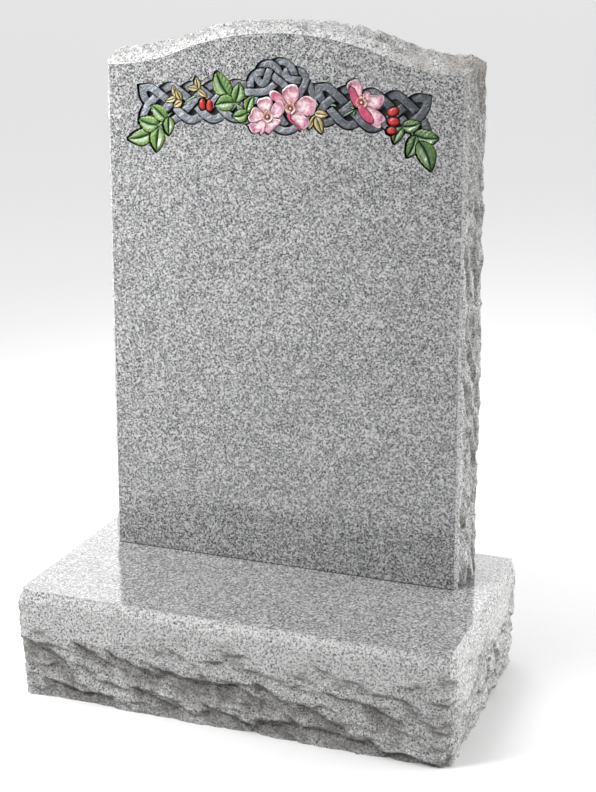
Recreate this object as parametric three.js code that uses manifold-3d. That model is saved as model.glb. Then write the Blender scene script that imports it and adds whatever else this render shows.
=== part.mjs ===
// A lawn memorial in light grey granite: an ogee-topped headstone with rock-pitched edges,
// standing on a rock-pitched base. Near the top of the polished face a sunk band holds
// carved knotwork with dog roses, leaves, hips and small bracts.
// Millimetres, +Z up. The polished face looks along -Y.

import * as THREE from "three";
import { mergeVertices } from "three/addons/utils/BufferGeometryUtils.js";
import Module from "manifold-3d";

const wasm = await Module();
wasm.setup();

// Headstone: a 21 x 31 inch slab with an ogee top.
const stoneWidth = 533.4;
const shoulderHeight = 736.6;
const crownRise = 50.8;
const crownRadius = 430;
const stoneThickness = 105;

// Base: a 25 x 14 inch block, and how far behind its front edge the headstone's face stands.
const baseWidth = 630;
const baseDepth = 350;
const baseHeight = 160;
const setBack = 208;

// Rock-pitched edges: the size of the facets and how far the broken stone stands proud of the
// worked outline. The base is proud by `baseFoot` of its most at the ground, and by all of it
// from the same share of its height up. The unevenness is the share of its push which a facet
// may lose, and the wander is how far it may slide between its rows.
const facet = 30;
const stoneRows = 4;
const baseRows = 5;
const sideProud = 10;
const crownProud = 16;
const shoulderProud = 22;
const baseProud = 12;
const baseFoot = 0.4;
const bellyShape = 0.6;
const unevenness = 0.5;
const wander = 0.5;

// Carving: depths are behind the polished face.
const recessDepth = 8;
const rooting = 1;
const outlineGap = 1.8;
const strandWidth = 11.5;
const stemWidth = 3.2;
const stemLevel = 0.6;
const weaveDepth = 2.8;
const weaveLift = 1.6;

// Leaves and bracts: a sunk middle rib, halves that swell, and edges that fall away.
const leafDepth = 1.6;
const leafSwell = 1.4;
const leafEdgeFall = 0.8;
const leafTipHalf = 0.7;

// Petals: they start a little way out from the rose's middle, low there, and rise to a lip
// that rolls down again over the last share of their length.
const petalStart = 3;
const petalDepth = 1;
const petalBowl = 2.4;
const petalLip = 0.8;
const petalLipFall = 2;
const petalEdgeFall = 0.8;
const petalNotchSpread = 0.2;

// A rose's heart: the ring of stamens as a low boss, with a knob in its middle.
const heartRadius = 9;
const heartDepth = 0.8;
const heartFoot = 0.6;
const knobShare = 0.3;
const knobDepth = 3;

// Plait: four strands that bounce between two edges. A cell is the distance from one crossing
// to the next, and a strand repeats after eight cells.
const plaitStart = 67;
const plaitCell = 17.2;
const plaitLength = 8 * plaitCell;
const plaitSwing = 25;
const plaitRounding = 0.9;
const plaitSteps = 16;
const plaitMiddle = 682;
const plaitMiddleAt = 170;
const plaitSlope = 0.075;

// A plait's pointed corners, as the reach beyond its end and the rise from its middle: the tip,
// the bend below it, and the place where two corner strands cross.
const cornerTip = [10, 23.5];
const cornerBend = [9.2, 15];
const cornerCrossing = [6, 7.5];

// A repeatable number from 0 to 1 for each whole-number place.
function grain(column, row, seed) {
  const value = Math.sin(column * 127.1 + row * 311.7 + seed * 74.7) * 43758.5453;
  return value - Math.floor(value);
}

// Turns a closed geometry into a solid that can be joined and cut.
function solid(geometry) {
  geometry.deleteAttribute("normal");
  geometry.deleteAttribute("uv");
  const merged = mergeVertices(geometry);
  return new wasm.Manifold(new wasm.Mesh({
    numProp: 3,
    vertProperties: new Float32Array(merged.attributes.position.array),
    triVerts: new Uint32Array(merged.index.array),
  }));
}

function geometryOf(body) {
  const mesh = body.getMesh();
  const geometry = new THREE.BufferGeometry();
  geometry.setAttribute("position", new THREE.BufferAttribute(mesh.vertProperties, 3));
  geometry.setIndex(new THREE.BufferAttribute(mesh.triVerts, 1));
  return geometry;
}

function joined(bodies) {
  return bodies.reduce((whole, body) => whole.add(body));
}

function placeKey(x, y) {
  return `${x.toFixed(2)} ${y.toFixed(2)}`;
}

// Extrudes an outline and breaks its wall into facets that stand proud of the worked edges.
// `outline` runs anticlockwise, `proud` gives the push of one outline point at a share of the
// depth, and no facet goes below `foot`.
function pitchedSlab(outline, depth, { rows, seed, proud, foot = -Infinity }) {
  const places = new Map();
  outline.forEach((point, column) => {
    const before = outline[(column + outline.length - 1) % outline.length];
    const after = outline[(column + 1) % outline.length];
    const outward = new THREE.Vector2(after.y - before.y, before.x - after.x).normalize();
    places.set(placeKey(point.x, point.y), { column, point, outward });
  });
  const geometry = new THREE.ExtrudeGeometry(new THREE.Shape(outline), {
    depth,
    steps: rows,
    bevelEnabled: false,
  });
  const position = geometry.attributes.position;
  for (let i = 0; i < position.count; i += 1) {
    const share = position.getZ(i) / depth;
    const row = Math.round(share * rows);
    const { column, point, outward } = places.get(placeKey(position.getX(i), position.getY(i)));
    const full = 1 - unevenness * grain(column, row, seed);
    const push = outward.clone().multiplyScalar(full * proud(point, share));
    const inner = row > 0 && row < rows;
    const slide = inner ? wander * (grain(column, row, seed + 1) - 0.5) * depth / rows : 0;
    const height = Math.max(foot, point.y + push.y);
    position.setXYZ(i, point.x + push.x, height, position.getZ(i) + slide);
  }
  return geometry;
}

// Points from one place towards another, a facet apart, without the last one.
function stretch(from, to) {
  const count = Math.round(from.distanceTo(to) / facet);
  return Array.from({ length: count }, (_, i) => from.clone().lerp(to, i / count));
}

// The ogee top from the right shoulder over the crown to the left shoulder: a hollow arc, a
// round one and a hollow one, each tangent to the next.
function ogee() {
  const half = stoneWidth / 2;
  const reach = (half ** 2 + crownRise ** 2) / (2 * crownRise);
  const hollowRadius = reach - crownRadius;
  const turn = Math.asin(half / reach);
  const hollowAt = shoulderHeight + hollowRadius;
  const crownAt = shoulderHeight + crownRise - crownRadius;
  const quarter = Math.PI / 2;
  const path = new THREE.Path();
  path.absarc(half, hollowAt, hollowRadius, -quarter, -quarter - turn, true);
  path.absarc(0, crownAt, crownRadius, quarter - turn, quarter + turn, false);
  path.absarc(-half, hollowAt, hollowRadius, -quarter + turn, -quarter, true);
  return path.getSpacedPoints(Math.round(path.getLength() / facet));
}

// The worked slab before it is carved: front face at y = 0, foot at z = 0.
function headstoneSlab() {
  const half = stoneWidth / 2;
  const top = ogee();
  const outline = [
    ...stretch(new THREE.Vector2(half, 0), top[0]),
    ...top,
    ...stretch(top[top.length - 1], new THREE.Vector2(-half, 0)).slice(1),
    new THREE.Vector2(-half, 0),
  ];
  const proud = (point, share) => {
    const belly = Math.sin(Math.PI * share) ** bellyShape;
    const side = Math.abs(point.x) / half;
    const onTop = point.y >= shoulderHeight;
    return belly * (onTop ? THREE.MathUtils.lerp(crownProud, shoulderProud, side) : sideProud);
  };
  const slab = pitchedSlab(outline, stoneThickness, { rows: stoneRows, seed: 3, proud, foot: 0 });
  slab.rotateX(Math.PI / 2);
  slab.translate(0, stoneThickness, 0);
  return slab;
}

// The base: worked top with its front edge at y = 0, sides broken all round.
function baseBlock() {
  const half = baseWidth / 2;
  const corners = [
    new THREE.Vector2(-half, 0),
    new THREE.Vector2(half, 0),
    new THREE.Vector2(half, baseDepth),
    new THREE.Vector2(-half, baseDepth),
  ];
  const outline = corners.flatMap((corner, i) => stretch(corner, corners[(i + 1) % 4]));
  const proud = (point, share) => {
    if (share === 1) return 0;
    return baseProud * THREE.MathUtils.lerp(baseFoot, 1, Math.min(1, share / baseFoot));
  };
  return pitchedSlab(outline, baseHeight, { rows: baseRows, seed: 8, proud });
}

// A closed block with a moulded top. `place` gives x, z and depth for shares u and v of the
// block's two sides, and tells its raised top from its foot.
function moulded(columns, rows, place) {
  const block = new THREE.BoxGeometry(1, 1, 1, columns, rows, 1);
  const position = block.attributes.position;
  for (let i = 0; i < position.count; i += 1) {
    const raised = position.getZ(i) > 0;
    const spot = place(position.getX(i) + 0.5, position.getY(i) + 0.5, raised);
    position.setXYZ(i, spot.x, spot.depth, spot.z);
  }
  return solid(block);
}

// The depths that a carved form and the sinking around it reach. A sinking starts in front of
// the face, so that it cuts clean through it.
const footDepth = recessDepth + rooting;
const openDepth = -recessDepth;

// A band along a line of points { x, z, level }, mitred where it turns, up to a limit. A level
// of 1 passes over its neighbour and -1 passes under. The first and last points only give the
// direction of the ends, so that two bands which meet there share one cut.
const mitreLimit = 0.6;
function band(line, width, depthOf, foot) {
  const last = line.length - 3;
  const sides = line.slice(1, -1).map((point, i) => {
    const came = new THREE.Vector2(point.x - line[i].x, point.z - line[i].z).normalize();
    const goes = new THREE.Vector2(line[i + 2].x - point.x, line[i + 2].z - point.z).normalize();
    const along = came.clone().add(goes).normalize();
    return new THREE.Vector2(-along.y, along.x).divideScalar(Math.max(mitreLimit, along.dot(goes)));
  });
  return moulded(last, 1, (u, v, raised) => {
    const i = Math.round(u * last);
    const point = line[i + 1];
    const offset = (v - 0.5) * width;
    return {
      x: point.x + sides[i].x * offset,
      z: point.z + sides[i].y * offset,
      depth: raised ? depthOf(point) : foot,
    };
  });
}

function strand(line, width = strandWidth) {
  return band(line, width, (point) => weaveDepth - weaveLift * point.level, footDepth);
}

function strandSinking(line, width = strandWidth) {
  return band(line, width + 2 * outlineGap, () => openDepth, recessDepth);
}

// A smooth line through a few points [x, z, level], with a point every `step`.
function through(points, step = 9) {
  const curve = new THREE.CatmullRomCurve3(
    points.map(([x, z, level = 0]) => new THREE.Vector3(x, z, level)),
    false,
    "centripetal",
  );
  const count = Math.max(4, Math.ceil(curve.getLength() / step));
  return curve.getSpacedPoints(count).map((p) => ({ x: p.x, z: p.y, level: p.z }));
}

// Two lines that follow one another, so that a strand which crosses itself is made in halves.
function halves(line) {
  const half = Math.floor(line.length / 2);
  return [line.slice(0, half + 2), line.slice(half - 1)];
}

function plaitMiddleAtX(x) {
  return plaitMiddle + plaitSlope * (plaitMiddleAt - Math.abs(x));
}

// One end of a plait strand, drawn out into the pointed corner above or below its end.
// `out` is the way out of the plait along x, and `up` is 1 for the upper corner.
function plaitCorner(x, out, up, fromEdge) {
  const middle = plaitMiddleAtX(x);
  const spot = ([reach, rise]) => ({ x: x + out * reach, z: middle + up * rise, level: 0 });
  const tip = spot(cornerTip);
  const bend = spot(cornerBend);
  return fromEdge ? [tip, bend] : [spot(cornerCrossing), bend, tip, spot([0, plaitSwing])];
}

// Four strands from end to end. A strand's height above the middle is a rounded zigzag, and
// it passes over and under in turn, which a sine of three times the turn gives.
function plait(start) {
  const end = start + plaitLength;
  return [0, 1, 2, 3].map((number) => {
    const line = Array.from({ length: plaitSteps + 1 }, (_, i) => {
      const x = start + plaitLength * i / plaitSteps;
      const turn = 2 * Math.PI * (i / plaitSteps - number / 4);
      const zigzag = Math.asin(plaitRounding * Math.cos(turn)) / Math.asin(plaitRounding);
      return { x, z: plaitMiddleAtX(x) + plaitSwing * zigzag, level: Math.sin(3 * turn) };
    });
    const fromEdge = number % 2 === 0;
    const upLeft = number === 0 || number === 3 ? 1 : -1;
    const upRight = number < 2 ? 1 : -1;
    const left = plaitCorner(start, -1, upLeft, fromEdge).reverse();
    return [...left, ...line, ...plaitCorner(end, 1, upRight, fromEdge)];
  });
}

// Sinks the small gaps between the strands of a plait.
function plaitSinking(start) {
  const spread = 2 * plaitCell;
  const overrun = 6;
  return moulded(1, 1, (u, v, raised) => {
    const x = THREE.MathUtils.lerp(start - overrun, start + plaitLength + overrun, u);
    return { x, z: plaitMiddleAtX(x) + (v - 0.5) * spread, depth: raised ? openDepth : recessDepth };
  });
}

// The interlace between the plaits, as strands of [x, z, level]. The first is the left lobe,
// the next two make the crown loops, two more the right lobe with its inner hook, and the last
// two the loops below the roses.
const crownKnot = [
  [[-35, 686], [-39, 695], [-43.5, 703, -1], [-45.5, 712], [-44.5, 720], [-40, 727.5],
    [-31, 731.5, 1], [-23, 731.5], [-18, 730.5, -1], [-11, 727], [-4, 722, 1], [3, 717], [12, 709]],
  [[-56, 702.5], [-43.5, 703, 1], [-31, 703.5], [-20, 706], [-12, 712.5], [-4.5, 722, -1],
    [-2, 731], [-5, 738], [-12, 743, 1], [-20, 744], [-27, 741], [-32, 734, -1], [-34, 727]],
  [[-33, 733, -1], [-34.3, 726], [-33, 719.5], [-27.5, 716], [-22, 719.5], [-18, 729, 1],
    [-15, 737], [-10.5, 743.5, -1], [-2, 747.5], [7, 747], [15, 742.5], [19.5, 736, 1],
    [21.5, 729], [22, 721.5, -1], [22, 711]],
  [[25, 697], [31, 707], [36.5, 716, 1], [38.5, 724], [36, 731], [29.5, 735.5], [19.5, 736.5, -1],
    [10, 735]],
  [[22, 737, -1], [12.5, 736], [7.5, 731.5], [9, 726.5], [16, 723.5], [22, 722.5, 1],
    [30, 722], [38, 720.5, -1], [44, 716], [46.5, 708], [50, 700], [54, 693]],
  [[-14, 664], [-8, 656], [0, 651.5], [9, 650, 1], [18, 652.5], [26, 659], [33, 668]],
  [[-3, 675], [3, 664], [9, 656, -1]],
];

// The sunk ground behind the interlace and the roses.
const crownGround = [
  [-46, 700], [-38, 727], [-18, 742], [8, 744], [30, 734], [42, 716], [46, 690], [40, 668],
  [18, 654], [0, 654], [-20, 660], [-44, 664],
];

// Leaves: foot, tip, width, and how far the middle line bows to its left.
const leaves = [
  { foot: [-199, 639], tip: [-239, 628], width: 25, bow: 3 },
  { foot: [-189, 647], tip: [-193, 611], width: 25, bow: -1 },
  { foot: [-190, 650], tip: [-221, 658], width: 24, bow: 3 },
  { foot: [-176, 658], tip: [-200, 679], width: 21, bow: 0 },
  { foot: [-173, 662], tip: [-173, 636], width: 18, bow: 0 },
  { foot: [-78, 696], tip: [-97, 731], width: 27, bow: 3 },
  { foot: [-69, 688], tip: [-62, 716], width: 21, bow: -2 },
  { foot: [-70, 687], tip: [-100, 682], width: 24, bow: -2 },
  { foot: [-51, 675], tip: [-41, 698], width: 16, bow: 2 },
  { foot: [-50, 674], tip: [-73, 668], width: 19, bow: 3 },
  { foot: [179, 664], tip: [206, 670], width: 18, bow: -2 },
  { foot: [180, 662], tip: [168, 640], width: 17, bow: -3 },
  { foot: [196, 654], tip: [232, 650], width: 24, bow: -3 },
  { foot: [199, 652], tip: [187, 622], width: 21, bow: 2 },
  { foot: [204, 645], tip: [222, 605], width: 27, bow: 3 },
];

// Small dry bracts: foot, tip and width.
const bracts = [
  { foot: [-160, 692], tip: [-165, 708], width: 10 },
  { foot: [-153, 688], tip: [-160, 703], width: 10 },
  { foot: [-161, 690], tip: [-177, 685], width: 9 },
  { foot: [-152, 686], tip: [-165, 678], width: 11 },
  { foot: [-125, 704], tip: [-129, 722], width: 11 },
  { foot: [-126, 705], tip: [-142, 706], width: 9 },
  { foot: [-126, 703], tip: [-112, 694], width: 9 },
  { foot: [52, 677], tip: [71, 675], width: 12 },
  { foot: [52, 674], tip: [43, 654], width: 9 },
  { foot: [54, 672], tip: [63, 649], width: 14 },
];

// Hips: middle, half length, half width and tilt in degrees.
const hips = [
  { at: [-119.5, 683], half: [8, 5.7], tilt: 95 },
  { at: [-109.5, 681.5], half: [8, 5.7], tilt: 90 },
  { at: [166, 683], half: [8.3, 5.6], tilt: 20 },
  { at: [167, 670], half: [8.5, 5.6], tilt: 0 },
  { at: [163, 658], half: [6.5, 5.4], tilt: 0 },
];

// Dog roses: middle and petals, each with its direction in degrees, reach, half spread in
// degrees and the share of its reach that the notch in its lip takes.
const roses = [
  { at: [-19, 670], petals: [
    { way: 107, reach: 29, spread: 38, notch: 0.05 },
    { way: 36, reach: 27, spread: 34, notch: 0 },
    { way: 181, reach: 31, spread: 31, notch: 0.05 },
    { way: 226, reach: 33, spread: 30, notch: 0.2 },
    { way: 296, reach: 26, spread: 36, notch: 0.12 },
  ] },
  { at: [15, 683], petals: [
    { way: 84, reach: 35, spread: 27, notch: 0.06 },
    { way: 142, reach: 35, spread: 18, notch: 0 },
    { way: 6, reach: 39, spread: 30, notch: 0 },
    { way: -50, reach: 34, spread: 26, notch: 0 },
    { way: -82, reach: 30, spread: 22, notch: 0 },
  ] },
  { at: [120, 695], petals: [
    { way: 108, reach: 33, spread: 27, notch: 0.05 },
    { way: 10, reach: 34, spread: 30, notch: 0.15 },
    { way: 160, reach: 21, spread: 40, notch: 0 },
    { way: -74, reach: 27, spread: 32, notch: 0 },
    { way: -43, reach: 40, spread: 22, notch: 0.06 },
  ] },
];

// Stems: thin strands of [x, z].
const stems = [
  [[-165, 671], [-176, 662], [-186, 652], [-200, 640]],
  [[-150, 680], [-138, 690], [-125, 696]],
  [[-80, 698], [-70, 687], [-60, 681], [-50, 675]],
  [[179, 665], [196, 654], [206, 643]],
  [[92, 673], [103, 680], [112, 685]],
  [[73, 688], [79, 690], [86, 687]],
];

// A leaf or bract with a sunk middle rib, swelling halves and edges that fall away.
function leaf({ foot, tip, width, bow = 0 }, { ribs, folds = 4, gap = 0, open = false }) {
  const from = new THREE.Vector2(...foot);
  const to = new THREE.Vector2(...tip);
  const along = to.clone().sub(from).normalize();
  const left = new THREE.Vector2(-along.y, along.x);
  from.addScaledVector(along, -gap);
  to.addScaledVector(along, gap);
  return moulded(ribs, open ? 1 : folds, (u, v, raised) => {
    const swell = Math.sin(Math.PI * u ** 0.8) ** 0.8;
    const half = Math.max(leafTipHalf, swell * width / 2) + gap;
    const side = 2 * v - 1;
    const middle = from.clone().lerp(to, u).addScaledVector(left, bow * Math.sin(Math.PI * u));
    middle.addScaledVector(left, side * half);
    const fold = leafSwell * Math.cos(2 * Math.PI * side) + leafEdgeFall * side ** 2;
    const top = open ? openDepth : leafDepth + fold;
    const bottom = open ? recessDepth : footDepth;
    return { x: middle.x, z: middle.y, depth: raised ? top : bottom };
  });
}

// One petal, fanned out from the rose's heart: low at the heart, rising to a rolled lip.
function petal([x, z], { way, reach, spread, notch }, { gap = 0, open = false }) {
  const half = THREE.MathUtils.degToRad(spread);
  const heading = THREE.MathUtils.degToRad(way);
  return moulded(open ? 1 : 3, 4, (u, v, raised) => {
    const side = 2 * v - 1;
    const swing = side * (half + gap / reach);
    const dip = 1 - notch * Math.exp(-((swing / petalNotchSpread) ** 2));
    const out = THREE.MathUtils.lerp(petalStart, reach * Math.sqrt(Math.cos(swing)) * dip + gap, u);
    const bowl = petalBowl * (1 - u) ** 1.5;
    const lip = petalLipFall * Math.max(0, u - petalLip);
    const top = open ? openDepth : petalDepth + bowl + lip + petalEdgeFall * side ** 2;
    const bottom = open ? recessDepth : footDepth;
    return {
      x: x + out * Math.cos(heading + swing),
      z: z + out * Math.sin(heading + swing),
      depth: raised ? top : bottom,
    };
  });
}

function roseHeart([x, z]) {
  const boss = new THREE.CylinderGeometry(heartRadius, heartRadius * heartFoot, footDepth, 9);
  boss.translate(x, heartDepth + footDepth / 2, z);
  const knob = new THREE.SphereGeometry(heartRadius * knobShare, 6, 4);
  knob.translate(x, knobDepth, z);
  return solid(boss).add(solid(knob));
}

// A hip is the front half of a bead that lies in the sunk ground, a little behind the face.
const hipRise = recessDepth - 1;
function hip({ at: [x, z], half: [long, wide], tilt }) {
  const bead = new THREE.SphereGeometry(1, 8, 4);
  bead.scale(long, hipRise, wide);
  bead.rotateY(-THREE.MathUtils.degToRad(tilt));
  bead.translate(x, recessDepth, z);
  return solid(bead);
}

// A hip's sinking is a plain round well.
function hipSinking({ at: [x, z], half: [long, wide], tilt }) {
  const well = new THREE.CylinderGeometry(1, 1, 2 * recessDepth, 8);
  well.scale(long + outlineGap, 1, wide + outlineGap);
  well.rotateY(-THREE.MathUtils.degToRad(tilt));
  well.translate(x, 0, z);
  return solid(well);
}

function ground(points) {
  const shape = new THREE.Shape(points.map(([x, z]) => new THREE.Vector2(x, z)));
  const block = new THREE.ExtrudeGeometry(shape, { depth: 2 * recessDepth, bevelEnabled: false });
  block.rotateX(Math.PI / 2);
  block.translate(0, recessDepth, 0);
  return solid(block);
}

const plaitStarts = [-plaitStart - plaitLength, plaitStart];
const strands = [
  ...plaitStarts.flatMap((start) => plait(start)),
  ...crownKnot.flatMap((points) => halves(through(points))),
];
const stemLines = stems.map((points) => through(points, 12));
const petals = roses.flatMap(({ at, petals: list }) => list.map((one) => [at, one]));

function sinkings() {
  const open = { open: true, gap: outlineGap };
  return joined([
    ...strands.map((line) => strandSinking(line)),
    ...stemLines.map((line) => strandSinking(line, stemWidth)),
    ...plaitStarts.map((start) => plaitSinking(start)),
    ground(crownGround),
    ...leaves.map((one) => leaf(one, { ribs: 4, ...open })),
    ...bracts.map((one) => leaf(one, { ribs: 3, ...open })),
    ...petals.map(([at, one]) => petal(at, one, open)),
    ...hips.map((one) => hipSinking(one)),
  ]);
}

function carvings() {
  const raisedStems = stemLines.map((line) => line.map((point) => ({ ...point, level: stemLevel })));
  return joined([
    ...strands.map((line) => strand(line)),
    ...raisedStems.map((line) => strand(line, stemWidth)),
    ...leaves.map((one) => leaf(one, { ribs: 5 })),
    ...bracts.map((one) => leaf(one, { ribs: 3, folds: 2 })),
    ...petals.map(([at, one]) => petal(at, one, {})),
    ...roses.map(({ at }) => roseHeart(at)),
    ...hips.map((one) => hip(one)),
  ]);
}

// Light grey granite: the carved stone is mostly polished, and the base mostly rough.
const carvedGranite = { color: 0xb4b5b4, roughness: 0.35, metalness: 0 };
const baseGranite = { color: 0xc0c0be, roughness: 0.5, metalness: 0 };

function stone(name, geometry, finish) {
  const mesh = new THREE.Mesh(geometry, new THREE.MeshStandardMaterial(finish));
  mesh.name = name;
  return mesh;
}

const memorial = new THREE.Group();
const headstoneBody = solid(headstoneSlab()).subtract(sinkings()).add(carvings());
const headstone = stone("headstone", geometryOf(headstoneBody), carvedGranite);
headstone.position.set(0, setBack, baseHeight);
const base = stone("base", baseBlock(), baseGranite);
memorial.add(headstone, base);

// The part's origin is the middle of its footprint, at the ground.
const bounds = new THREE.Box3().setFromObject(memorial);
const middle = bounds.getCenter(new THREE.Vector3());
memorial.position.set(-middle.x, -middle.y, -bounds.min.z);
memorial.updateMatrixWorld(true);

export default memorial;
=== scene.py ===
"""A granite lawn memorial: a headstone with pitched edges and a sunk, painted band of
knotwork and dog roses, standing on a pitched base. Run as a script, it models both stones
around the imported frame, gives them their finishes and sets up a plain studio."""

import math

import bpy
import numpy as np
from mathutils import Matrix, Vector, noise


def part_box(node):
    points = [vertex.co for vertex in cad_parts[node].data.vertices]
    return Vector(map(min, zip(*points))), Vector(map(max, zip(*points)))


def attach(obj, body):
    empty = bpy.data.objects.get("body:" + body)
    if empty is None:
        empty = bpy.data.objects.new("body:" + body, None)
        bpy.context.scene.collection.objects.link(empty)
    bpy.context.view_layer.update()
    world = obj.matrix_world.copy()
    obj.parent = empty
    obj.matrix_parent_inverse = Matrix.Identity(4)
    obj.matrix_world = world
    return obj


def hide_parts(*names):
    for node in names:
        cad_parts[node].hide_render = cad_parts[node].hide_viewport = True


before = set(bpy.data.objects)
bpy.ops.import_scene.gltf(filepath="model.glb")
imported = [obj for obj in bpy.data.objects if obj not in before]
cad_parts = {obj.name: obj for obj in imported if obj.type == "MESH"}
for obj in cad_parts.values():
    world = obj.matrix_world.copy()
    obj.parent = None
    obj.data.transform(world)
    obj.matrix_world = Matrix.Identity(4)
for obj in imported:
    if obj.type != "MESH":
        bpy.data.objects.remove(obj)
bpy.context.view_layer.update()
stone_low, stone_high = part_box("headstone")
base_low, base_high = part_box("base")

bl_info = {
    "name": "Lawn Memorial",
    "version": (1, 0, 0),
    "blender": (4, 5, 0),
    "location": "View3D > Sidebar > Memorial",
    "description": "Models a pitched granite memorial with a painted band of knotwork and roses",
    "category": "Add Mesh",
}

MM = 0.001
UP = Vector((0, 0, 1))


# Sizes and colours that a user would change

def length(name, description, default):
    return bpy.props.FloatProperty(
        name=name, description=description, default=default, min=0, unit="LENGTH", precision=4
    )


def share(name, description, default):
    return bpy.props.FloatProperty(
        name=name, description=description, default=default, min=0, max=1, subtype="FACTOR"
    )


def colour(name, description, default):
    return bpy.props.FloatVectorProperty(
        name=name, description=description, default=default, min=0, max=1, subtype="COLOR"
    )


def bearing(name, description, degrees):
    return bpy.props.FloatProperty(
        name=name, description=description, default=math.radians(degrees), subtype="ANGLE"
    )


def watts(name, description, default):
    return bpy.props.FloatProperty(
        name=name, description=description, default=default, min=0, unit="POWER"
    )


def strength(name, description, default):
    return bpy.props.FloatProperty(name=name, description=description, default=default, min=0)


class HeadstoneSizes(bpy.types.PropertyGroup):
    width: length("Width", "Width of the worked face", 533.4 * MM)
    shoulder: length("Shoulder height", "Height of the shoulders above the base", 736.6 * MM)
    crown_rise: length("Crown rise", "How far the crown stands above the shoulders", 50.8 * MM)
    crown_radius: length("Crown radius", "Radius of the round middle of the ogee top", 430 * MM)
    thickness: length("Thickness", "From polished face to back", stone_high.y - stone_low.y)
    facet: length("Facet", "Distance between the points of the pitched edge", 2.7 * MM)
    side_proud: length("Side proud", "How far the broken sides stand past the worked edge", 9 * MM)
    crown_proud: length("Crown proud", "The same, at the middle of the top", 15 * MM)
    shoulder_proud: length("Shoulder proud", "The same, at the ends of the top", 20 * MM)


class BaseSizes(bpy.types.PropertyGroup):
    width: length("Width", "Width of the polished top", 639 * MM)
    depth: length("Depth", "Depth of the polished top", 359 * MM)
    set_back: length("Set back", "From the front edge to the headstone's face", 212.5 * MM)
    facet: length("Facet", "Distance between the points of the pitched sides", 2.3 * MM)
    proud: length("Proud", "How far the broken sides stand past the top's edge", 7 * MM)
    foot: share("Foot", "Share of that left at the ground", 0.4)


class CarvingSizes(bpy.types.PropertyGroup):
    recess: length("Recess", "Depth of the sunk ground behind the face", 8 * MM)
    outline: length("Outline", "Width of the dark gap around each carved form", 1.4 * MM)
    strand: length("Strand", "Width of a strand of the plaits", 11.5 * MM)
    crown_strand: length("Crown strand", "Width of a strand of the crown knot", 10.2 * MM)
    weave_depth: length("Weave depth", "Depth of a strand halfway between over and under", 2.8 * MM)
    weave_lift: length("Weave lift", "How far a strand rises or sinks at a crossing", 1.6 * MM)
    leaf_depth: length("Leaf depth", "Depth of a leaf's surface behind the face", 1.6 * MM)


class FinishColours(bpy.types.PropertyGroup):
    pale: colour("Pale grain", "Feldspar", (0.44, 0.44, 0.435))
    grey: colour("Grey grain", "Quartz", (0.168, 0.171, 0.176))
    dark: colour("Dark grain", "Mica", (0.03, 0.032, 0.038))
    broken_pale: colour("Broken pale grain", "Feldspar in broken stone", (0.78, 0.78, 0.77))
    broken_grey: colour("Broken grey grain", "Quartz in broken stone", (0.34, 0.34, 0.342))
    crushed: colour("Crushed grain", "Grains whitened by the chisel", (0.78, 0.78, 0.77))
    # This colour also darkens the hollows and the undersides of ledges as painted shade.
    stain_and_shade: colour("Stain", "Dirt in the hollows of the pitched edges", (0.13, 0.118, 0.105))
    knot: colour("Knot", "Paint of the knotwork", (0.13, 0.146, 0.167))
    leaf: colour("Leaf", "Paint of the leaves", (0.085, 0.19, 0.035))
    petal: colour("Petal", "Paint of the petals", (0.65, 0.455, 0.49))
    blush: colour("Blush", "Deeper paint inside the rims of the petals", (0.36, 0.10, 0.195))
    underside: colour("Underside", "Paint of the turned petals", (0.40, 0.035, 0.095))
    bract: colour("Bract", "Paint of the dry bracts", (0.40, 0.33, 0.16))
    hip: colour("Hip", "Paint of the rose hips", (0.44, 0.035, 0.03))
    floor: colour("Floor", "Studio floor", (0.8, 0.8, 0.8))


class StudioSettings(bpy.types.PropertyGroup):
    floor_radius: length("Floor radius", "Radius of the round studio floor", 30)
    eye: bpy.props.FloatVectorProperty(
        name="Eye", description="Place of the camera", default=(0.8237, -2.0806, 1.1017),
        subtype="TRANSLATION",
    )
    yaw: bearing("Yaw", "Turn of the camera to the left", 20.635)
    pitch: bearing("Pitch", "Tilt of the camera downwards", 11.602)
    lens: bpy.props.FloatProperty(
        name="Lens", description="Focal length", default=73.56, unit="CAMERA"
    )
    rise: bpy.props.FloatProperty(
        name="Rise", description="Vertical lens shift, as a share of the frame", default=-0.1818
    )
    key: watts("Key light", "Power of the light overhead", 47)
    side: watts("Side light", "Power of the light from the left", 8.5)
    corner: watts("Corner light", "Power of the light near the upper left", 3.9)
    low: watts("Low light", "Power of the low light at the right", 7)
    sky: strength("Sky", "Strength of the white sky overhead", 0.95)
    backdrop: strength("Backdrop", "Strength of the white sky behind the memorial", 2.6)


class MemorialSettings(bpy.types.PropertyGroup):
    headstone: bpy.props.PointerProperty(name="Headstone", type=HeadstoneSizes)
    base: bpy.props.PointerProperty(name="Base", type=BaseSizes)
    carving: bpy.props.PointerProperty(name="Carving", type=CarvingSizes)
    finish: bpy.props.PointerProperty(name="Finish", type=FinishColours)
    studio: bpy.props.PointerProperty(name="Studio", type=StudioSettings)


def settings():
    return bpy.context.scene.memorial


# Small helpers for modelling

def deselect():
    bpy.ops.object.select_all(action="DESELECT")


def choose(*pieces):
    """Selects these pieces alone and makes the last one active."""
    deselect()
    for piece in pieces:
        piece.select_set(True)
    bpy.context.view_layer.objects.active = pieces[-1]


def edit(piece, mode="EDGE"):
    choose(piece)
    bpy.ops.object.mode_set(mode="EDIT")
    bpy.ops.mesh.select_mode(type=mode)


def leave():
    bpy.ops.object.mode_set(mode="OBJECT")


def leave_outwards():
    """Turns all faces outwards and leaves edit mode."""
    bpy.ops.mesh.select_all(action="SELECT")
    bpy.ops.mesh.normals_make_consistent(inside=False)
    leave()


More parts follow.
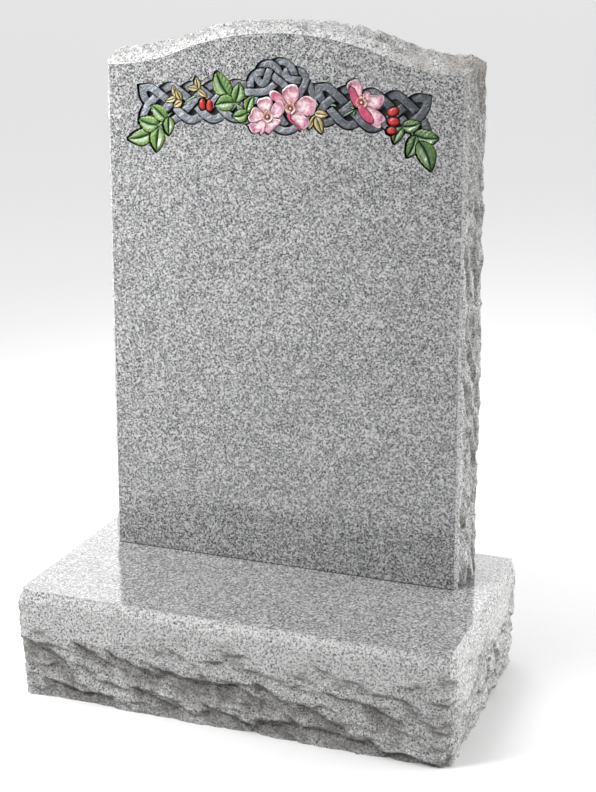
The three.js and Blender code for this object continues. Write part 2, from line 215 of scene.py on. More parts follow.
def select_edges(piece, wanted):
    """Selects the edges for which wanted(start, end) is true. The piece is in edit mode."""
    bpy.ops.mesh.select_mode(type="EDGE")
    bpy.ops.mesh.select_all(action="DESELECT")
    leave()
    points = [vertex.co.copy() for vertex in piece.data.vertices]
    for edge in piece.data.edges:
        edge.select = wanted(*(points[i] for i in edge.vertices))
    bpy.ops.object.mode_set(mode="EDIT")


def along(axis):
    """A test for edges that run along one axis only."""
    others = [i for i in range(3) if i != axis]
    return lambda start, end: all(abs(start[i] - end[i]) < 1e-6 for i in others)


def clamp(value, low=0.0, high=1.0):
    return max(low, min(high, value))


def mix(first, second, factor):
    return first + (second - first) * factor


def smooth(value, low, high):
    t = clamp((value - low) / (high - low))
    return t * t * (3 - 2 * t)


def finish_stone(piece, node):
    """Shades a stone, hangs it under the root body, and hides the frame's part that it stands for.
    """
    choose(piece)
    bpy.ops.object.shade_smooth_by_angle(angle=math.radians(38), keep_sharp_edges=True)
    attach(piece, "root")
    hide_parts(node)


def dress(piece, polished):
    """Gives the polished faces the first material and the broken ones the second, and keeps
    the edge between them crisp."""
    owner = {}
    for face in piece.data.polygons:
        face.material_index = 0 if polished[face.index] else 1
        for key in face.edge_keys:
            owner.setdefault(key, set()).add(face.material_index)
    for edge in piece.data.edges:
        edge.use_edge_sharp = len(owner[edge.key]) > 1
    for material in (polished_granite(), pitched_granite()):
        piece.data.materials.append(material)


# Broken stone

# Heights of the two kinds of ledges and widths of the two kinds of scallops, in millimetres,
# and how much the ledges rise along the face.
LARGE_LEDGE, LARGE_SLOPE = 33, 0.24
SMALL_LEDGE, SMALL_SLOPE = 14, 0.42
LARGE_SCALLOP = 44
SMALL_SCALLOP = 17


def bowls(place, size):
    """0 in the middle of a scallop and up to about 1 on the ridges between scallops."""
    distances, _ = noise.voronoi(place / size)
    return clamp(distances[0] * 1.3) ** 1.6


def steps(height, run, place, seed, spacing, slope):
    """How far a wavy ledge has worn in at this place: it deepens slowly on the way up and
    ends at an overhanging lip."""
    bend = noise.fractal((place + Vector((seed * 91, 0, seed * 37))) / (2.2 * spacing), 1, 2, 3)
    phase = (height + slope * run) / spacing + 0.95 * bend
    worn = phase - math.floor(phase)
    return worn**1.4 * (1 - smooth(worn, 0.86, 1))


def grain(place):
    """The broken grain, in millimetres."""
    coarse = noise.fractal(place / 10, 0.8, 2.1, 3)
    fine = noise.noise(place / 3.1)
    return 1.5 * coarse + 0.6 * fine


def broken(place, height, run, seed, depth, calm):
    """The hollow of a broken face, in millimetres: ledges, scallops and grain. `calm` is 1
    where the face was struck smooth and 0 where it broke freely."""
    patch = smooth(noise.noise(place / 58 + Vector((seed, 5, 1))), -0.3, 0.3)
    ledge = steps(height, run, place, seed, LARGE_LEDGE, LARGE_SLOPE)
    minor = steps(height, run, place, seed + 3, SMALL_LEDGE, SMALL_SLOPE)
    ledge *= 0.3 + 0.7 * patch
    minor *= 1 - 0.6 * patch
    large = 1 - bowls(place + Vector((0, 0, seed * 53)), LARGE_SCALLOP)
    small = 1 - bowls(place + Vector((seed * 17, 0, 0)), SMALL_SCALLOP)
    hollow = depth * (0.7 * ledge + 0.34 * minor + 0.34 * large + 0.22 * small)
    return hollow * mix(1, 0.4, calm) + mix(1, 0.8, calm) * grain(place)


def weather_and_shade(piece, cuts, stone_foot, amount):
    """Notes where the stone is darkened, in hollows partly for grime and partly as painted shade,
    and as painted shade under ledges that face down; and where the stone was struck smooth."""
    # The hollow attribute carries darkening for dirt and for painted shade.
    names = ("hollow", "struck")
    for name in names:
        piece.data.attributes.new(name, "FLOAT", "POINT")
    hollows, strucks = (piece.data.attributes[name].data for name in names)
    piece.data.update()
    for vertex in piece.data.vertices:
        cut, calm = cuts.get(vertex.index, (0, 1))
        # Painted shade: a surface that faces down, under a ledge, is darkened as if shaded from
        # above.
        under = smooth(-vertex.normal.z, -0.05, 0.4) if vertex.co.z > stone_foot + MM else 0
        hollows[vertex.index].value = clamp(amount * smooth(cut, 2.5, 9) + 0.75 * under)
        strucks[vertex.index].value = calm


def keep_within(point, low, high):
    """Moves a point that has left a box to just inside it."""
    spare = 0.05 * MM
    for i in range(3):
        point[i] = clamp(point[i], low[i] + spare, high[i] - spare)


# Base

# Ledges in the front of the base: x and height above the ground, in millimetres.
FRONT_LEDGES = [
    [(-322, 92), (-290, 80), (-256, 66), (-222, 38)],
    [(-236, 100), (-205, 84), (-176, 72), (-160, 56)],
    [(-184, 94), (-150, 80), (-118, 70), (-96, 50)],
    [(-112, 78), (-60, 72), (-20, 66), (12, 48)],
    [(-30, 74), (16, 70), (52, 56), (80, 40)],
    [(39, 84), (84, 62), (118, 44)],
    [(104, 66), (150, 46), (186, 30)],
    [(196, 82), (236, 66), (268, 52)],
    [(-290, 34), (-226, 18), (-162, 20)],
    [(-150, 44), (-104, 30), (-60, 14)],
    [(-44, 36), (10, 24), (60, 10)],
    [(38, 24), (140, 30), (177, 20), (211, 22), (227, 12), (261, 13), (310, 6)],
]

# How far a ledge cuts in, the height of its lip, how fast the cut fades below it, and how
# far from its ends it runs out, in millimetres.
LEDGE_DEPTH = 12
LEDGE_LIP = 4
LEDGE_FADE = 20
LEDGE_RUN_OUT = 18

# How far from a corner its stone is struck off more, in millimetres.
CORNER_REACH = 14

# The bed of mastic under the headstone: the heights of its foot and its top from the
# headstone's foot, and how far it stands out, in millimetres.
SEAM_FOOT = -0.4
SEAM_TOP = 1.2
SEAM_PROUD = 0.35


def line_height(line, x):
    """The height of a broken line at x, and how strongly it shows there."""
    if not line[0][0] <= x <= line[-1][0]:
        return 0, 0
    for (x0, z0), (x1, z1) in zip(line, line[1:]):
        if x <= x1:
            height = mix(z0, z1, (x - x0) / (x1 - x0))
            break
    ends = min(x - line[0][0], line[-1][0] - x)
    return height, smooth(ends, 0, LEDGE_RUN_OUT)


def front_ledges(x, z, place):
    """How far the named ledges cut in at one place of the front, in millimetres."""
    wave = 4 * noise.noise(place / 17) + 2 * noise.noise(place / 6)
    cut = 0
    for line in FRONT_LEDGES:
        height, shows = line_height(line, x)
        below = height + wave - z
        if shows and below > 0:
            worn = smooth(below, 0, LEDGE_LIP) * math.exp(-below / LEDGE_FADE)
            cut = max(cut, shows * worn)
    return LEDGE_DEPTH * cut


def base_profile(height, foot):
    """The push of the base's side at a share of its height: none at the arris, most from
    about two thirds up, and a little at the ground."""
    top = smooth(1 - height, 0, 0.14) ** 0.75
    return top * mix(foot, 1, smooth(height, 0, 0.62))


class MEMORIAL_OT_base(bpy.types.Operator):
    """Model the base: a polished top and four pitched sides"""

    bl_idname = "memorial.base"
    bl_label = "Base"

    def execute(self, context):
        sizes = settings().base
        front = stone_low.y - sizes.set_back
        height = base_high.z - base_low.z
        middle = Vector((0, front + sizes.depth / 2, 0))
        deselect()
        bpy.ops.mesh.primitive_plane_add(size=1, location=middle)
        piece = context.object
        piece.name = "base_stone"
        bpy.ops.object.transform_apply(location=True)
        edit(piece)
        bpy.ops.mesh.select_all(action="SELECT")
        bpy.ops.transform.resize(value=(sizes.width, sizes.depth, 1), center_override=middle)
        bpy.ops.mesh.delete(type="ONLY_FACE")
        for axis, size in ((0, sizes.width), (1, sizes.depth)):
            select_edges(piece, along(axis))
            bpy.ops.mesh.subdivide(number_cuts=round(size / sizes.facet) - 1)
        bpy.ops.mesh.select_all(action="SELECT")
        bpy.ops.mesh.edge_face_add()
        bpy.ops.mesh.extrude_region_move(TRANSFORM_OT_translate={"value": (0, 0, height)})
        select_edges(piece, along(2))
        bpy.ops.mesh.subdivide(number_cuts=round(height / sizes.facet) - 1)
        leave_outwards()
        polished = [abs(face.normal.z) > 0.9 for face in piece.data.polygons]
        self.pitch(piece, middle, height, sizes)
        dress(piece, polished)
        choose(self.seam(), piece)
        bpy.ops.object.join()
        finish_stone(piece, "base")
        return {"FINISHED"}

    def seam(self):
        """The bed of dark mastic under the headstone, which shows as a thin line at its foot."""
        half = settings().headstone.width / 2 / MM
        thickness = settings().headstone.thickness / MM

        def place(u, side, raised):
            x, z = mix(-half, half, u), mix(SEAM_FOOT, SEAM_TOP, (side + 1) / 2)
            return x, z, -SEAM_PROUD if raised else thickness + SEAM_PROUD
        return block(2, 1, place, [joint_mastic()])

    def pitch(self, piece, middle, height, sizes):
        """Breaks the sides. Corners are struck off more than the straight."""
        cuts = {}
        half = Vector((sizes.width / 2, sizes.depth / 2)) / MM
        for vertex in piece.data.vertices:
            spot = (vertex.co - middle) / MM
            near = [half[i] - abs(spot[i]) for i in range(2)]
            weights = [clamp(1 - near[i] / CORNER_REACH) for i in range(2)]
            ways = [math.copysign(weights[i], spot[i]) for i in range(2)]
            outward = Vector((*ways, 0)).normalized()
            up = vertex.co.z / height
            run = spot.x - spot.y if spot.x * spot.y < 0 else spot.x + spot.y
            corner = weights[0] * weights[1]
            place = vertex.co / MM
            chip = 0.5 + 0.7 * noise.fractal(place / 20, 1, 2, 3) + 2 * corner
            if up > 0.999:
                vertex.co -= outward * chip * MM
                continue
            calm = smooth(up + 0.25 * noise.noise(place / 50), 0.54, 0.78)
            cut = broken(place, place.z, run, seed=2, depth=10, calm=calm)
            if spot.y < 1 - half.y:
                cut = 0.75 * cut + front_ledges(spot.x, place.z, place)
            proud = sizes.proud / MM * base_profile(up, sizes.foot)
            edge = smooth(1 - up, 0, 0.08)
            push = proud - (cut - 3) * edge - chip * (1 - edge) - 9 * corner * (1 - 0.5 * up)
            vertex.co += outward * push * MM
            keep_within(vertex.co, base_low, base_high)
            cuts[vertex.index] = cut, calm
        weather_and_shade(piece, cuts, 0, 0.75)


# Headstone slab

class MEMORIAL_OT_headstone(bpy.types.Operator):
    """Model the headstone: an ogee outline drawn by spinning, with pitched edges"""

    bl_idname = "memorial.headstone"
    bl_label = "Headstone"

    def execute(self, context):
        sizes = settings().headstone
        half = sizes.width / 2
        reach = (half**2 + sizes.crown_rise**2) / (2 * sizes.crown_rise)
        hollow_radius = reach - sizes.crown_radius
        turn = math.asin(half / reach)
        face, foot = stone_low.y, stone_low.z
        shoulder = foot + sizes.shoulder
        deselect()
        bpy.ops.mesh.primitive_plane_add(size=MM, location=(0, 0, 0))
        piece = context.object
        piece.name = "carved_headstone"
        edit(piece, "VERT")
        bpy.ops.mesh.select_all(action="SELECT")
        bpy.ops.mesh.merge(type="CENTER")
        bpy.ops.transform.translate(value=(half, face, foot))
        rise = {"value": (0, 0, sizes.shoulder)}
        bpy.ops.mesh.extrude_region_move(TRANSFORM_OT_translate=rise)
        arcs = [
            (half, shoulder + hollow_radius, hollow_radius, -turn),
            (0, shoulder + sizes.crown_rise - sizes.crown_radius, sizes.crown_radius, 2 * turn),
            (-half, shoulder + hollow_radius, hollow_radius, -turn),
        ]
        for x, z, radius, sweep in arcs:
            count = round(abs(sweep) * radius / sizes.facet)
            bpy.ops.mesh.spin(steps=count, angle=sweep, center=(x, face, z), axis=(0, 1, 0))
        bpy.ops.mesh.extrude_region_move(
            TRANSFORM_OT_translate={"value": (0, 0, -sizes.shoulder)}
        )
        select_edges(piece, lambda start, end: abs(start.z - end.z) > 0.5 * sizes.shoulder)
        bpy.ops.mesh.subdivide(number_cuts=round(sizes.shoulder / sizes.facet) - 1)
        bpy.ops.mesh.select_all(action="SELECT")
        bpy.ops.mesh.edge_face_add()
        thickness = {"value": (0, sizes.thickness, 0)}
        bpy.ops.mesh.extrude_region_move(TRANSFORM_OT_translate=thickness)
        select_edges(piece, along(1))
        bpy.ops.mesh.subdivide(number_cuts=round(sizes.thickness / sizes.facet) - 1)
        leave_outwards()
        polished = [abs(face.normal.y) > 0.9 for face in piece.data.polygons]
        self.pitch(piece, sizes)
        dress(piece, polished)
        return {"FINISHED"}

    def pitch(self, piece, sizes):
        """Breaks the edges outwards from both faces."""
        cuts = {}
        outwards = [Vector() for _ in piece.data.vertices]
        for face in piece.data.polygons:
            if abs(face.normal.y) < 0.9:
                for i in face.vertices:
                    outwards[i] += face.normal
        half = sizes.width / 2
        face_y = stone_low.y
        top = stone_low.z + sizes.shoulder
        for vertex in piece.data.vertices:
            outward = outwards[vertex.index]
            outward.y = 0
            if vertex.co.z < stone_low.z + MM:
                outward.z = 0
            outward.normalize()
            place = vertex.co / MM
            deep = (vertex.co.y - face_y) / sizes.thickness
            side = abs(vertex.co.x) / half
            on_top = smooth(vertex.co.z, top - 6 * MM, top + 2 * MM)
            ridge = mix(sizes.crown_proud, sizes.shoulder_proud, side)
            proud = mix(sizes.side_proud, ridge, on_top) / MM
            belly = max(0, math.sin(math.pi * deep)) ** 0.6
            chip = 0.7 * (0.5 + 0.5 * noise.fractal(place / 15, 1, 2, 3))
            if deep < 0.001 or deep > 0.999:
                vertex.co -= outward * chip * MM
                continue
            from_edge = min(deep, 1 - deep) * sizes.thickness / MM
            run = vertex.co.z / MM if side > 0.98 and on_top < 0.5 else vertex.co.x / MM
            calm = 0.8 * (1 - smooth(from_edge, 6, 17))
            cut = broken(place, place.y, run, seed=4, depth=16, calm=calm)
            edge = smooth(from_edge, 0, 8)
            push = proud * belly * 1.2 - (cut - 5) * edge - chip * (1 - edge)
            vertex.co += outward * push * MM
            if vertex.co.z < stone_low.z + MM:
                vertex.co.z = stone_low.z
            keep_within(vertex.co, stone_low - UP, stone_high)
            vertex.co.z = max(vertex.co.z, stone_low.z)
            cuts[vertex.index] = cut, calm
        weather_and_shade(piece, cuts, stone_low.z, 0.3)


# Carving: forms are laid out in the face, in millimetres from the middle of the headstone's
# foot, with x to the right and z up. Depths are behind the face.

# Forms are rooted below the sunk ground, and sinkings start in front of the face. A well is
# the dark gap that a form on the knotwork is set in.
ROOTING = 1
ABOVE = 8
WELL_DEPTH = 6
WELL_GAP = 0.9
STEM_WIDTH = 3
STEM_DEPTH = 0.8
PETAL_FOOT = 3
HEART_RADIUS = 9.3
STAMENS = 8
HIP_DEPTH = 0.3
HIP_SWELL = 0.6
STAGGER = 0.005

# Strands: the faces across one, the gap beside a strand that passes over, and how much
# higher it has to lie there than another strand, or than another stretch of the same one.
STRAND_ROWS = 10
PASSING_GAP = 1.7
HIGHER = 0.45
HIGHER_ON_ITSELF = 1.25

# Plait: four strands that bounce between two edges. A cell is the distance from one crossing
# to the next, and a strand repeats after eight cells.
PLAIT_START = 67
PLAIT_CELL = 17.2
PLAIT_LENGTH = 8 * PLAIT_CELL
PLAIT_SWING = 25
PLAIT_ROUNDING = 0.9
PLAIT_STEPS = 80
PLAIT_MIDDLE = 682
PLAIT_MIDDLE_AT = 170
PLAIT_SLOPE = 0.075
PLAIT_GROUND = 19
PLAIT_OVERRUN = 6
CORNER_TIP = (10, 23.5)
CORNER_BEND = (9.2, 15)
CORNER_CROSSING = (6, 7.5)

# The interlace between the plaits, as strands of x, z and level: 1 passes over and -1 under.
# The first is the left lobe, the next two make the crown loops, two more the right lobe with
# its inner hook, and the last two the loops below the roses.
CROWN_KNOT = [
    [(-35, 686), (-39, 695), (-43.5, 703, -1), (-45.5, 712), (-44.5, 720), (-40, 727.5),
     (-31, 731.5, 1), (-23, 731.5), (-18, 730.5, -1), (-11, 727), (-4, 722, 1), (3, 717),
     (12, 709)],
    [(-56, 702.5), (-43.5, 703, 1), (-31, 703.5), (-20, 706), (-12, 712.5), (-4.5, 722, -1),
     (-2, 731), (-5, 738), (-12, 743, 1), (-20, 744), (-27, 741), (-32, 734, -1), (-34, 727)],
    [(-33, 733, -1), (-34.3, 726), (-33, 719.5), (-27.5, 716), (-22, 719.5), (-18, 729, 1),
     (-15, 737), (-10.5, 743.5, -1), (-2, 747.5), (7, 747), (15, 742.5), (19.5, 736, 1),
     (21.5, 729), (22, 721.5, -1), (22, 711)],
    [(25, 697), (31, 707), (36.5, 716, 1), (38.5, 724), (36, 731), (29.5, 735.5),
     (19.5, 736.5, -1), (10, 735)],
    [(22, 737, -1), (12.5, 736), (7.5, 731.5), (9, 726.5), (16, 723.5), (22, 722.5, 1),
     (30, 722), (38, 720.5, -1), (44, 716), (46.5, 708), (50, 700), (54, 693)],
    [(-14, 664), (-8, 656), (0, 651.5), (9, 650, 1), (18, 652.5), (26, 659), (33, 668)],
    [(-3, 675), (3, 664), (9, 656, -1)],
]

# The sunk ground behind the interlace and the roses.
CROWN_GROUND = [
    (-46, 700), (-38, 727), (-18, 742), (8, 744), (30, 734), (42, 716), (46, 690), (40, 668),
    (18, 654), (0, 654), (-20, 660), (-44, 664),
]

# Leaves: foot, tip, width, and how far the middle line bows to its left.
LEAVES = [
    ((-199, 639), (-239, 628), 25, 3),
    ((-189, 647), (-193, 611), 25, -1),
    ((-190, 650), (-221, 658), 24, 3),
    ((-176, 658), (-200, 679), 21, 0),
    ((-173, 662), (-173, 636), 18, 0),
    ((-78, 696), (-97, 731), 27, 3),
    ((-69, 688), (-62, 716), 21, -2),
    ((-70, 687), (-100, 682), 24, -2),
    ((-51, 675), (-41, 698), 16, 2),
    ((-50, 674), (-73, 668), 19, 3),
    ((179, 664), (206, 670), 18, -2),
    ((180, 662), (168, 640), 17, -3),
    ((196, 654), (232, 650), 24, -3),
    ((199, 652), (187, 622), 21, 2),
    ((204, 645), (222, 605), 27, 3),
]

# Small dry bracts: foot, tip and width.
BRACTS = [
    ((-160, 692), (-165, 708), 10),
    ((-153, 688), (-160, 703), 10),
    ((-161, 690), (-177, 685), 9),
    ((-152, 686), (-165, 678), 11),
    ((-125, 704), (-129, 722), 11),
    ((-126, 705), (-142, 706), 9),
    ((-126, 703), (-112, 694), 9),
    ((52, 677), (71, 675), 12),
    ((52, 674), (43, 654), 9),
    ((54, 672), (63, 649), 14),
]

# Hips: middle, half length, half width and tilt in degrees.
HIPS = [
    ((-120, 683), 9, 6, 95),
    ((-109, 681.5), 9, 6, 90),
    ((166, 684), 9.2, 6.7, 20),
    ((166.5, 670.3), 9.3, 6.7, 0),
    ((163.5, 657.5), 7.6, 6.4, 0),
]

# Dog roses: middle; petals from the back one to the front one, each with its lip as angles
# in degrees and reaches from the middle, and how far its darker underside shows; and the arc
# of the stamens in degrees.
ROSES = [
    ((15.5, 682.3), [
        ([(240, 10.5), (257, 15.4), (276, 20.7), (288, 25), (293, 33.5), (297, 36), (301, 33)], 1),
        ([(126, 22), (132, 31), (138, 36.5), (145, 38), (151, 36), (156, 31), (160, 25)], 0.55),
        ([(51, 18), (58, 25.5), (68, 30.8), (79, 34.6), (88, 34.4), (96, 32.8), (104, 31),
          (117, 27), (127, 18)], 0.2),
        ([(-23, 22), (-19, 30), (-10, 35), (3, 37.5), (15, 40), (28, 35.6), (38, 30), (44, 24)],
         0.12),
        ([(-86, 15), (-72, 19.5), (-62, 27), (-56, 34.6), (-48, 35.6), (-38, 34.8), (-29, 32),
          (-25, 27)], 0),
    ], (15, 170)),
    ((-19, 669), [
        ([(201, 34.5), (208, 32.6), (216, 33.2), (227, 32.8), (234, 30.5), (240, 25.6),
          (250, 28), (257, 23)], 0.1),
        ([(259, 21), (272, 24.2), (285, 22), (300, 19), (318, 18.5), (336, 20.5), (350, 21.5)],
         0.05),
        ([(142, 20), (150, 25), (159, 26), (174, 26.8), (183, 30), (194, 28.8), (203, 24),
          (208, 18)], 0),
        ([(68, 20), (78, 26.2), (90, 28.4), (104, 27.6), (120, 28.2), (131, 25), (138, 19)], 0.05),
        ([(-4, 16), (9, 21.5), (21, 26.8), (36, 30.2), (50, 31.4), (59, 27), (65, 19)], 0.1),
    ], (65, 235)),
    ((120.6, 694.4), [
        ([(87, 20), (94, 28.8), (102, 33.2), (117, 34.2), (129, 33.8), (140, 28)], 0.12),
        ([(-28, 15), (-22, 22.4), (-11, 27.5), (3, 32), (17, 33.8), (26, 29.7), (32, 22),
          (39, 18), (54, 18.6), (68, 17), (80, 13)], 0.12),
        ([(-66, 31), (-58, 38.5), (-50, 43.6), (-45, 39.3), (-36, 41.2), (-29, 38.7), (-24, 26)],
         0),
        ([(119, 21), (128, 28), (144, 22.4), (161, 17.2), (189, 12.5), (226, 10.5)], 1),
        ([(236, 9.5), (250, 13), (264, 17.4), (278, 23.5), (291, 29.5), (300, 32.3), (307, 30),
          (313, 20)], 1),
    ], (20, 250)),
]

# Stems: thin strands of x and z.
STEMS = [
    [(-165, 671), (-176, 662), (-186, 652), (-200, 640)],
    [(-150, 680), (-138, 690), (-125, 696)],
    [(-80, 698), (-70, 687), (-60, 681), (-50, 675)],
    [(179, 665), (196, 654), (206, 643)],
    [(92, 673), (103, 680), (112, 685)],
    [(73, 688), (79, 690), (86, 687)],
    [(101, 687.5), (107, 687), (113, 684.5)],
    [(108.5, 675), (110, 680), (113, 685)],
]


def on_face(x, z, depth):
    """A place of the carving in the frame, in metres."""
    return Vector((x * MM, stone_low.y + depth * MM, stone_low.z + z * MM))


def face_outwards(piece):
    """Turns all faces of a closed piece outwards."""
    edit(piece, "FACE")
    leave_outwards()
    return piece


def foot_depth():
    """The depth at which the carved forms are rooted."""
    return settings().carving.recess / MM + ROOTING


def block(columns, rows, place, materials, tint_at=None):
    """A closed block whose front is a grid, shaped by place(u, side, raised), where u runs
    from 0 to 1 along it and side from -1 to 1 across it. tint_at(u, side) gives the tint."""
    deselect()
    bpy.ops.mesh.primitive_grid_add(
        x_subdivisions=columns, y_subdivisions=rows, size=1, location=(0, 0, 0)
    )
    piece = bpy.context.object
    bpy.ops.object.mode_set(mode="EDIT")
    bpy.ops.mesh.select_all(action="SELECT")
    bpy.ops.mesh.extrude_region_move(TRANSFORM_OT_translate={"value": (0, 0, 1)})
    leave()
    mesh = piece.data
    raised = [vertex.co.z > 0.5 for vertex in mesh.vertices]
    tints = mesh.attributes.new("tint", "FLOAT", "POINT")
    for vertex in mesh.vertices:
        u, side = vertex.co.x + 0.5, 2 * vertex.co.y
        if tint_at and raised[vertex.index]:
            tints.data[vertex.index].value = tint_at(u, side)
        vertex.co = on_face(*place(u, side, raised[vertex.index]))
    for material in materials:
        mesh.materials.append(material)
    for face in mesh.polygons:
        painted = all(raised[i] for i in face.vertices)
        face.material_index = 1 if painted and len(materials) > 1 else 0
    return face_outwards(piece)


def require_closed(piece):
    """Only closed meshes can be combined."""
    uses = {}
    for face in piece.data.polygons:
        for key in face.edge_keys:
            uses[key] = uses.get(key, 0) + 1
    if any(count != 2 for count in uses.values()):
        raise RuntimeError(f"{piece.name} is not closed")


def combine(whole, part, operation):
    """Joins a closed part to a closed whole, or cuts it out, and removes the part."""
    require_closed(part)
    choose(whole)
    modifier = whole.modifiers.new("combined", "BOOLEAN")
    modifier.operation = operation
    modifier.solver = "MANIFOLD"
    modifier.material_mode = "TRANSFER"
    modifier.object = part
    bpy.ops.object.modifier_apply(modifier=modifier.name)
    mesh = part.data
    bpy.data.objects.remove(part)
    bpy.data.meshes.remove(mesh)


def staggered(parts):
    """Sets each part a hair deeper than the last, so that no two have faces in one plane."""
    for number, part in enumerate(parts):
        for vertex in part.data.vertices:
            vertex.co.y += STAGGER * MM * number
    return parts


def combine_all(parts):
    whole = parts[0]
    for part in parts[1:]:
        combine(whole, part, "UNION")
    return whole


def through(points, step):
    """A smooth line through a few points of x, z and level, with a point every step."""
    full = [Vector((p[0], p[1], p[2] if len(p) > 2 else 0)) for p in points]
    full = [2 * full[0] - full[1], *full, 2 * full[-1] - full[-2]]
    line = []
    for p0, p1, p2, p3 in zip(full, full[1:], full[2:], full[3:]):
        count = max(1, round((p2 - p1).xy.length / step))
        for i in range(count):
            t = i / count
            line.append(0.5 * (
                2 * p1 + (p2 - p0) * t + (2 * p0 - 5 * p1 + 4 * p2 - p3) * t**2
                + (3 * p1 - p0 - 3 * p2 + p3) * t**3
            ))
    return line + [full[-2]]


def plait_middle(x):
    return PLAIT_MIDDLE + PLAIT_SLOPE * (PLAIT_MIDDLE_AT - abs(x))


def plait_corner(x, out, up, from_edge):
    """One end of a plait strand, drawn out into the pointed corner above or below its end.
    `out` is the way out of the plait along x, and `up` is 1 for the upper corner."""
    def spot(offset):
        return Vector((x + out * offset[0], plait_middle(x) + up * offset[1], 0))
    tip, bend = spot(CORNER_TIP), spot(CORNER_BEND)
    if from_edge:
        return [tip, bend]
    return [spot(CORNER_CROSSING), bend, tip, spot((0, PLAIT_SWING))]


def plait(start):
    """Four strands from end to end, each a rounded zigzag that passes over and under."""
    end = start + PLAIT_LENGTH
    lines = []
    for number in range(4):
        line = []
        for i in range(PLAIT_STEPS + 1):
            x = start + PLAIT_LENGTH * i / PLAIT_STEPS
            turn = math.tau * (i / PLAIT_STEPS - number / 4)
            zigzag = math.asin(PLAIT_ROUNDING * math.cos(turn)) / math.asin(PLAIT_ROUNDING)
            line.append(Vector((x, plait_middle(x) + PLAIT_SWING * zigzag, math.sin(3 * turn))))
        from_edge = number % 2 == 0
        left = plait_corner(start, -1, 1 if number in (0, 3) else -1, from_edge)[::-1]
        right = plait_corner(end, 1, 1 if number < 2 else -1, from_edge)
        lines.append([*left, *line, *right])
    return lines


def halves(line):
    """Two lines that follow one another, so that a strand which crosses itself is made as
    two closed bands."""
    half = len(line) // 2
    return [line[:half + 2], line[half - 1:]]


def band(line, width, depth_of, foot, materials, rows, tint_of=None, taper=0):
    """A band along a line, mitred where it turns and narrowed at its ends by the taper. The
    first and last points only give the direction of its ends."""
    last = len(line) - 3
    sides = []
    for before, point, after in zip(line, line[1:], line[2:]):
        came, goes = (point - before).xy.normalized(), (after - point).xy.normalized()
        way = (came + goes).normalized()
        sides.append(Vector((-way.y, way.x)) / max(0.6, way.dot(goes)))

    def place(u, side, raised):
        point = line[round(u * last) + 1]
        narrow = 1 - taper * abs(2 * u - 1) ** 2
        spot = point.xy + sides[round(u * last)] * side * narrow * width / 2
        return spot.x, spot.y, depth_of(point, spot, side) if raised else foot

    def tint(u, side):
        point = line[round(u * last) + 1]
        return tint_of(point, point.xy + sides[round(u * last)] * side * width / 2)
    return block(last, rows, place, materials, tint if tint_of else None)


def covering(strands, gap):
    """A test for how far a place on one strand lies under another, its outline included."""
    spots = [
        (point.x, point.y, point.z, number, owner, width / 2)
        for number, (line, width, owner) in enumerate(strands) for point in line[1:-1]
    ]
    x, z, level, numbers, owners, half = np.array(spots).T

    def covered(number, spot, spot_level):
        margin = np.where(owners == strands[number][2], HIGHER_ON_ITSELF, HIGHER)
        above = (numbers != number) & (level > spot_level + margin)
        beyond = (np.hypot(x - spot.x, z - spot.y) - half)[above]
        return 1 - smooth(beyond.min(), gap - 0.6, gap + 0.5) if len(beyond) else 0
    return covered


def strand(number, strands, covered):
    """A strand of knotwork, sunk beside each strand that passes over it."""
    sizes = settings().carving
    line, width, _ = strands[number]

    def depth_of(point, spot, side):
        woven = (sizes.weave_depth - sizes.weave_lift * point.z) / MM
        chisel = 0.3 * noise.noise(Vector((spot.x, spot.y, 7)) / 2.6)
        under = 2.4 * covered(number, spot, point.z)
        return woven + 1.1 * abs(side) ** 5 - 0.35 * (1 - side**2) + chisel + under

    def tint_of(point, spot):
        return covered(number, spot, point.z)
    finishes = [recess_black(), knot_paint()]
    return band(line, width, depth_of, foot_depth(), finishes, STRAND_ROWS, tint_of)


def stem(line):
    def depth_of(point, spot, side):
        return STEM_DEPTH + 0.9 * side**2
    finishes = [recess_black(), stem_paint()]
    return band(line, STEM_WIDTH, depth_of, foot_depth(), finishes, 4, taper=0.65)


def band_sinking(line, width, gap, depth):
    grown = width + 2 * gap
    return band(line, grown, lambda point, spot, side: -ABOVE, depth, [recess_black()], 1)


def leaf_outline(foot, tip, width, bow, gap):
    """The way to a place in a leaf. Its first half is the one that catches the light."""
    foot, tip = Vector(foot), Vector(tip)
    way = (tip - foot).normalized()
    left = Vector((-way.y, way.x))
    foot, tip = foot - way * gap, tip + way * gap
    flip = 1 if left.y < 0.25 * left.x else -1

    def place(u, side, share_of_width=1.0):
        swell = math.sin(math.pi * clamp(u) ** 0.8) ** 0.8 if 0 < u < 1 else 0
        half = max(0.7, swell * width / 2 * share_of_width) + gap
        middle = foot.lerp(tip, u) + left * bow * math.sin(math.pi * u)
        return middle - left * flip * side * half
    return place


def well(columns, rows, outline, depth):
    """A closed block that sinks the shape outline(u, side) into the stone."""
    def place(u, side, raised):
        x, z = outline(u, side)
        return x, z, -ABOVE if raised else depth
    return block(columns, rows, place, [recess_black()])


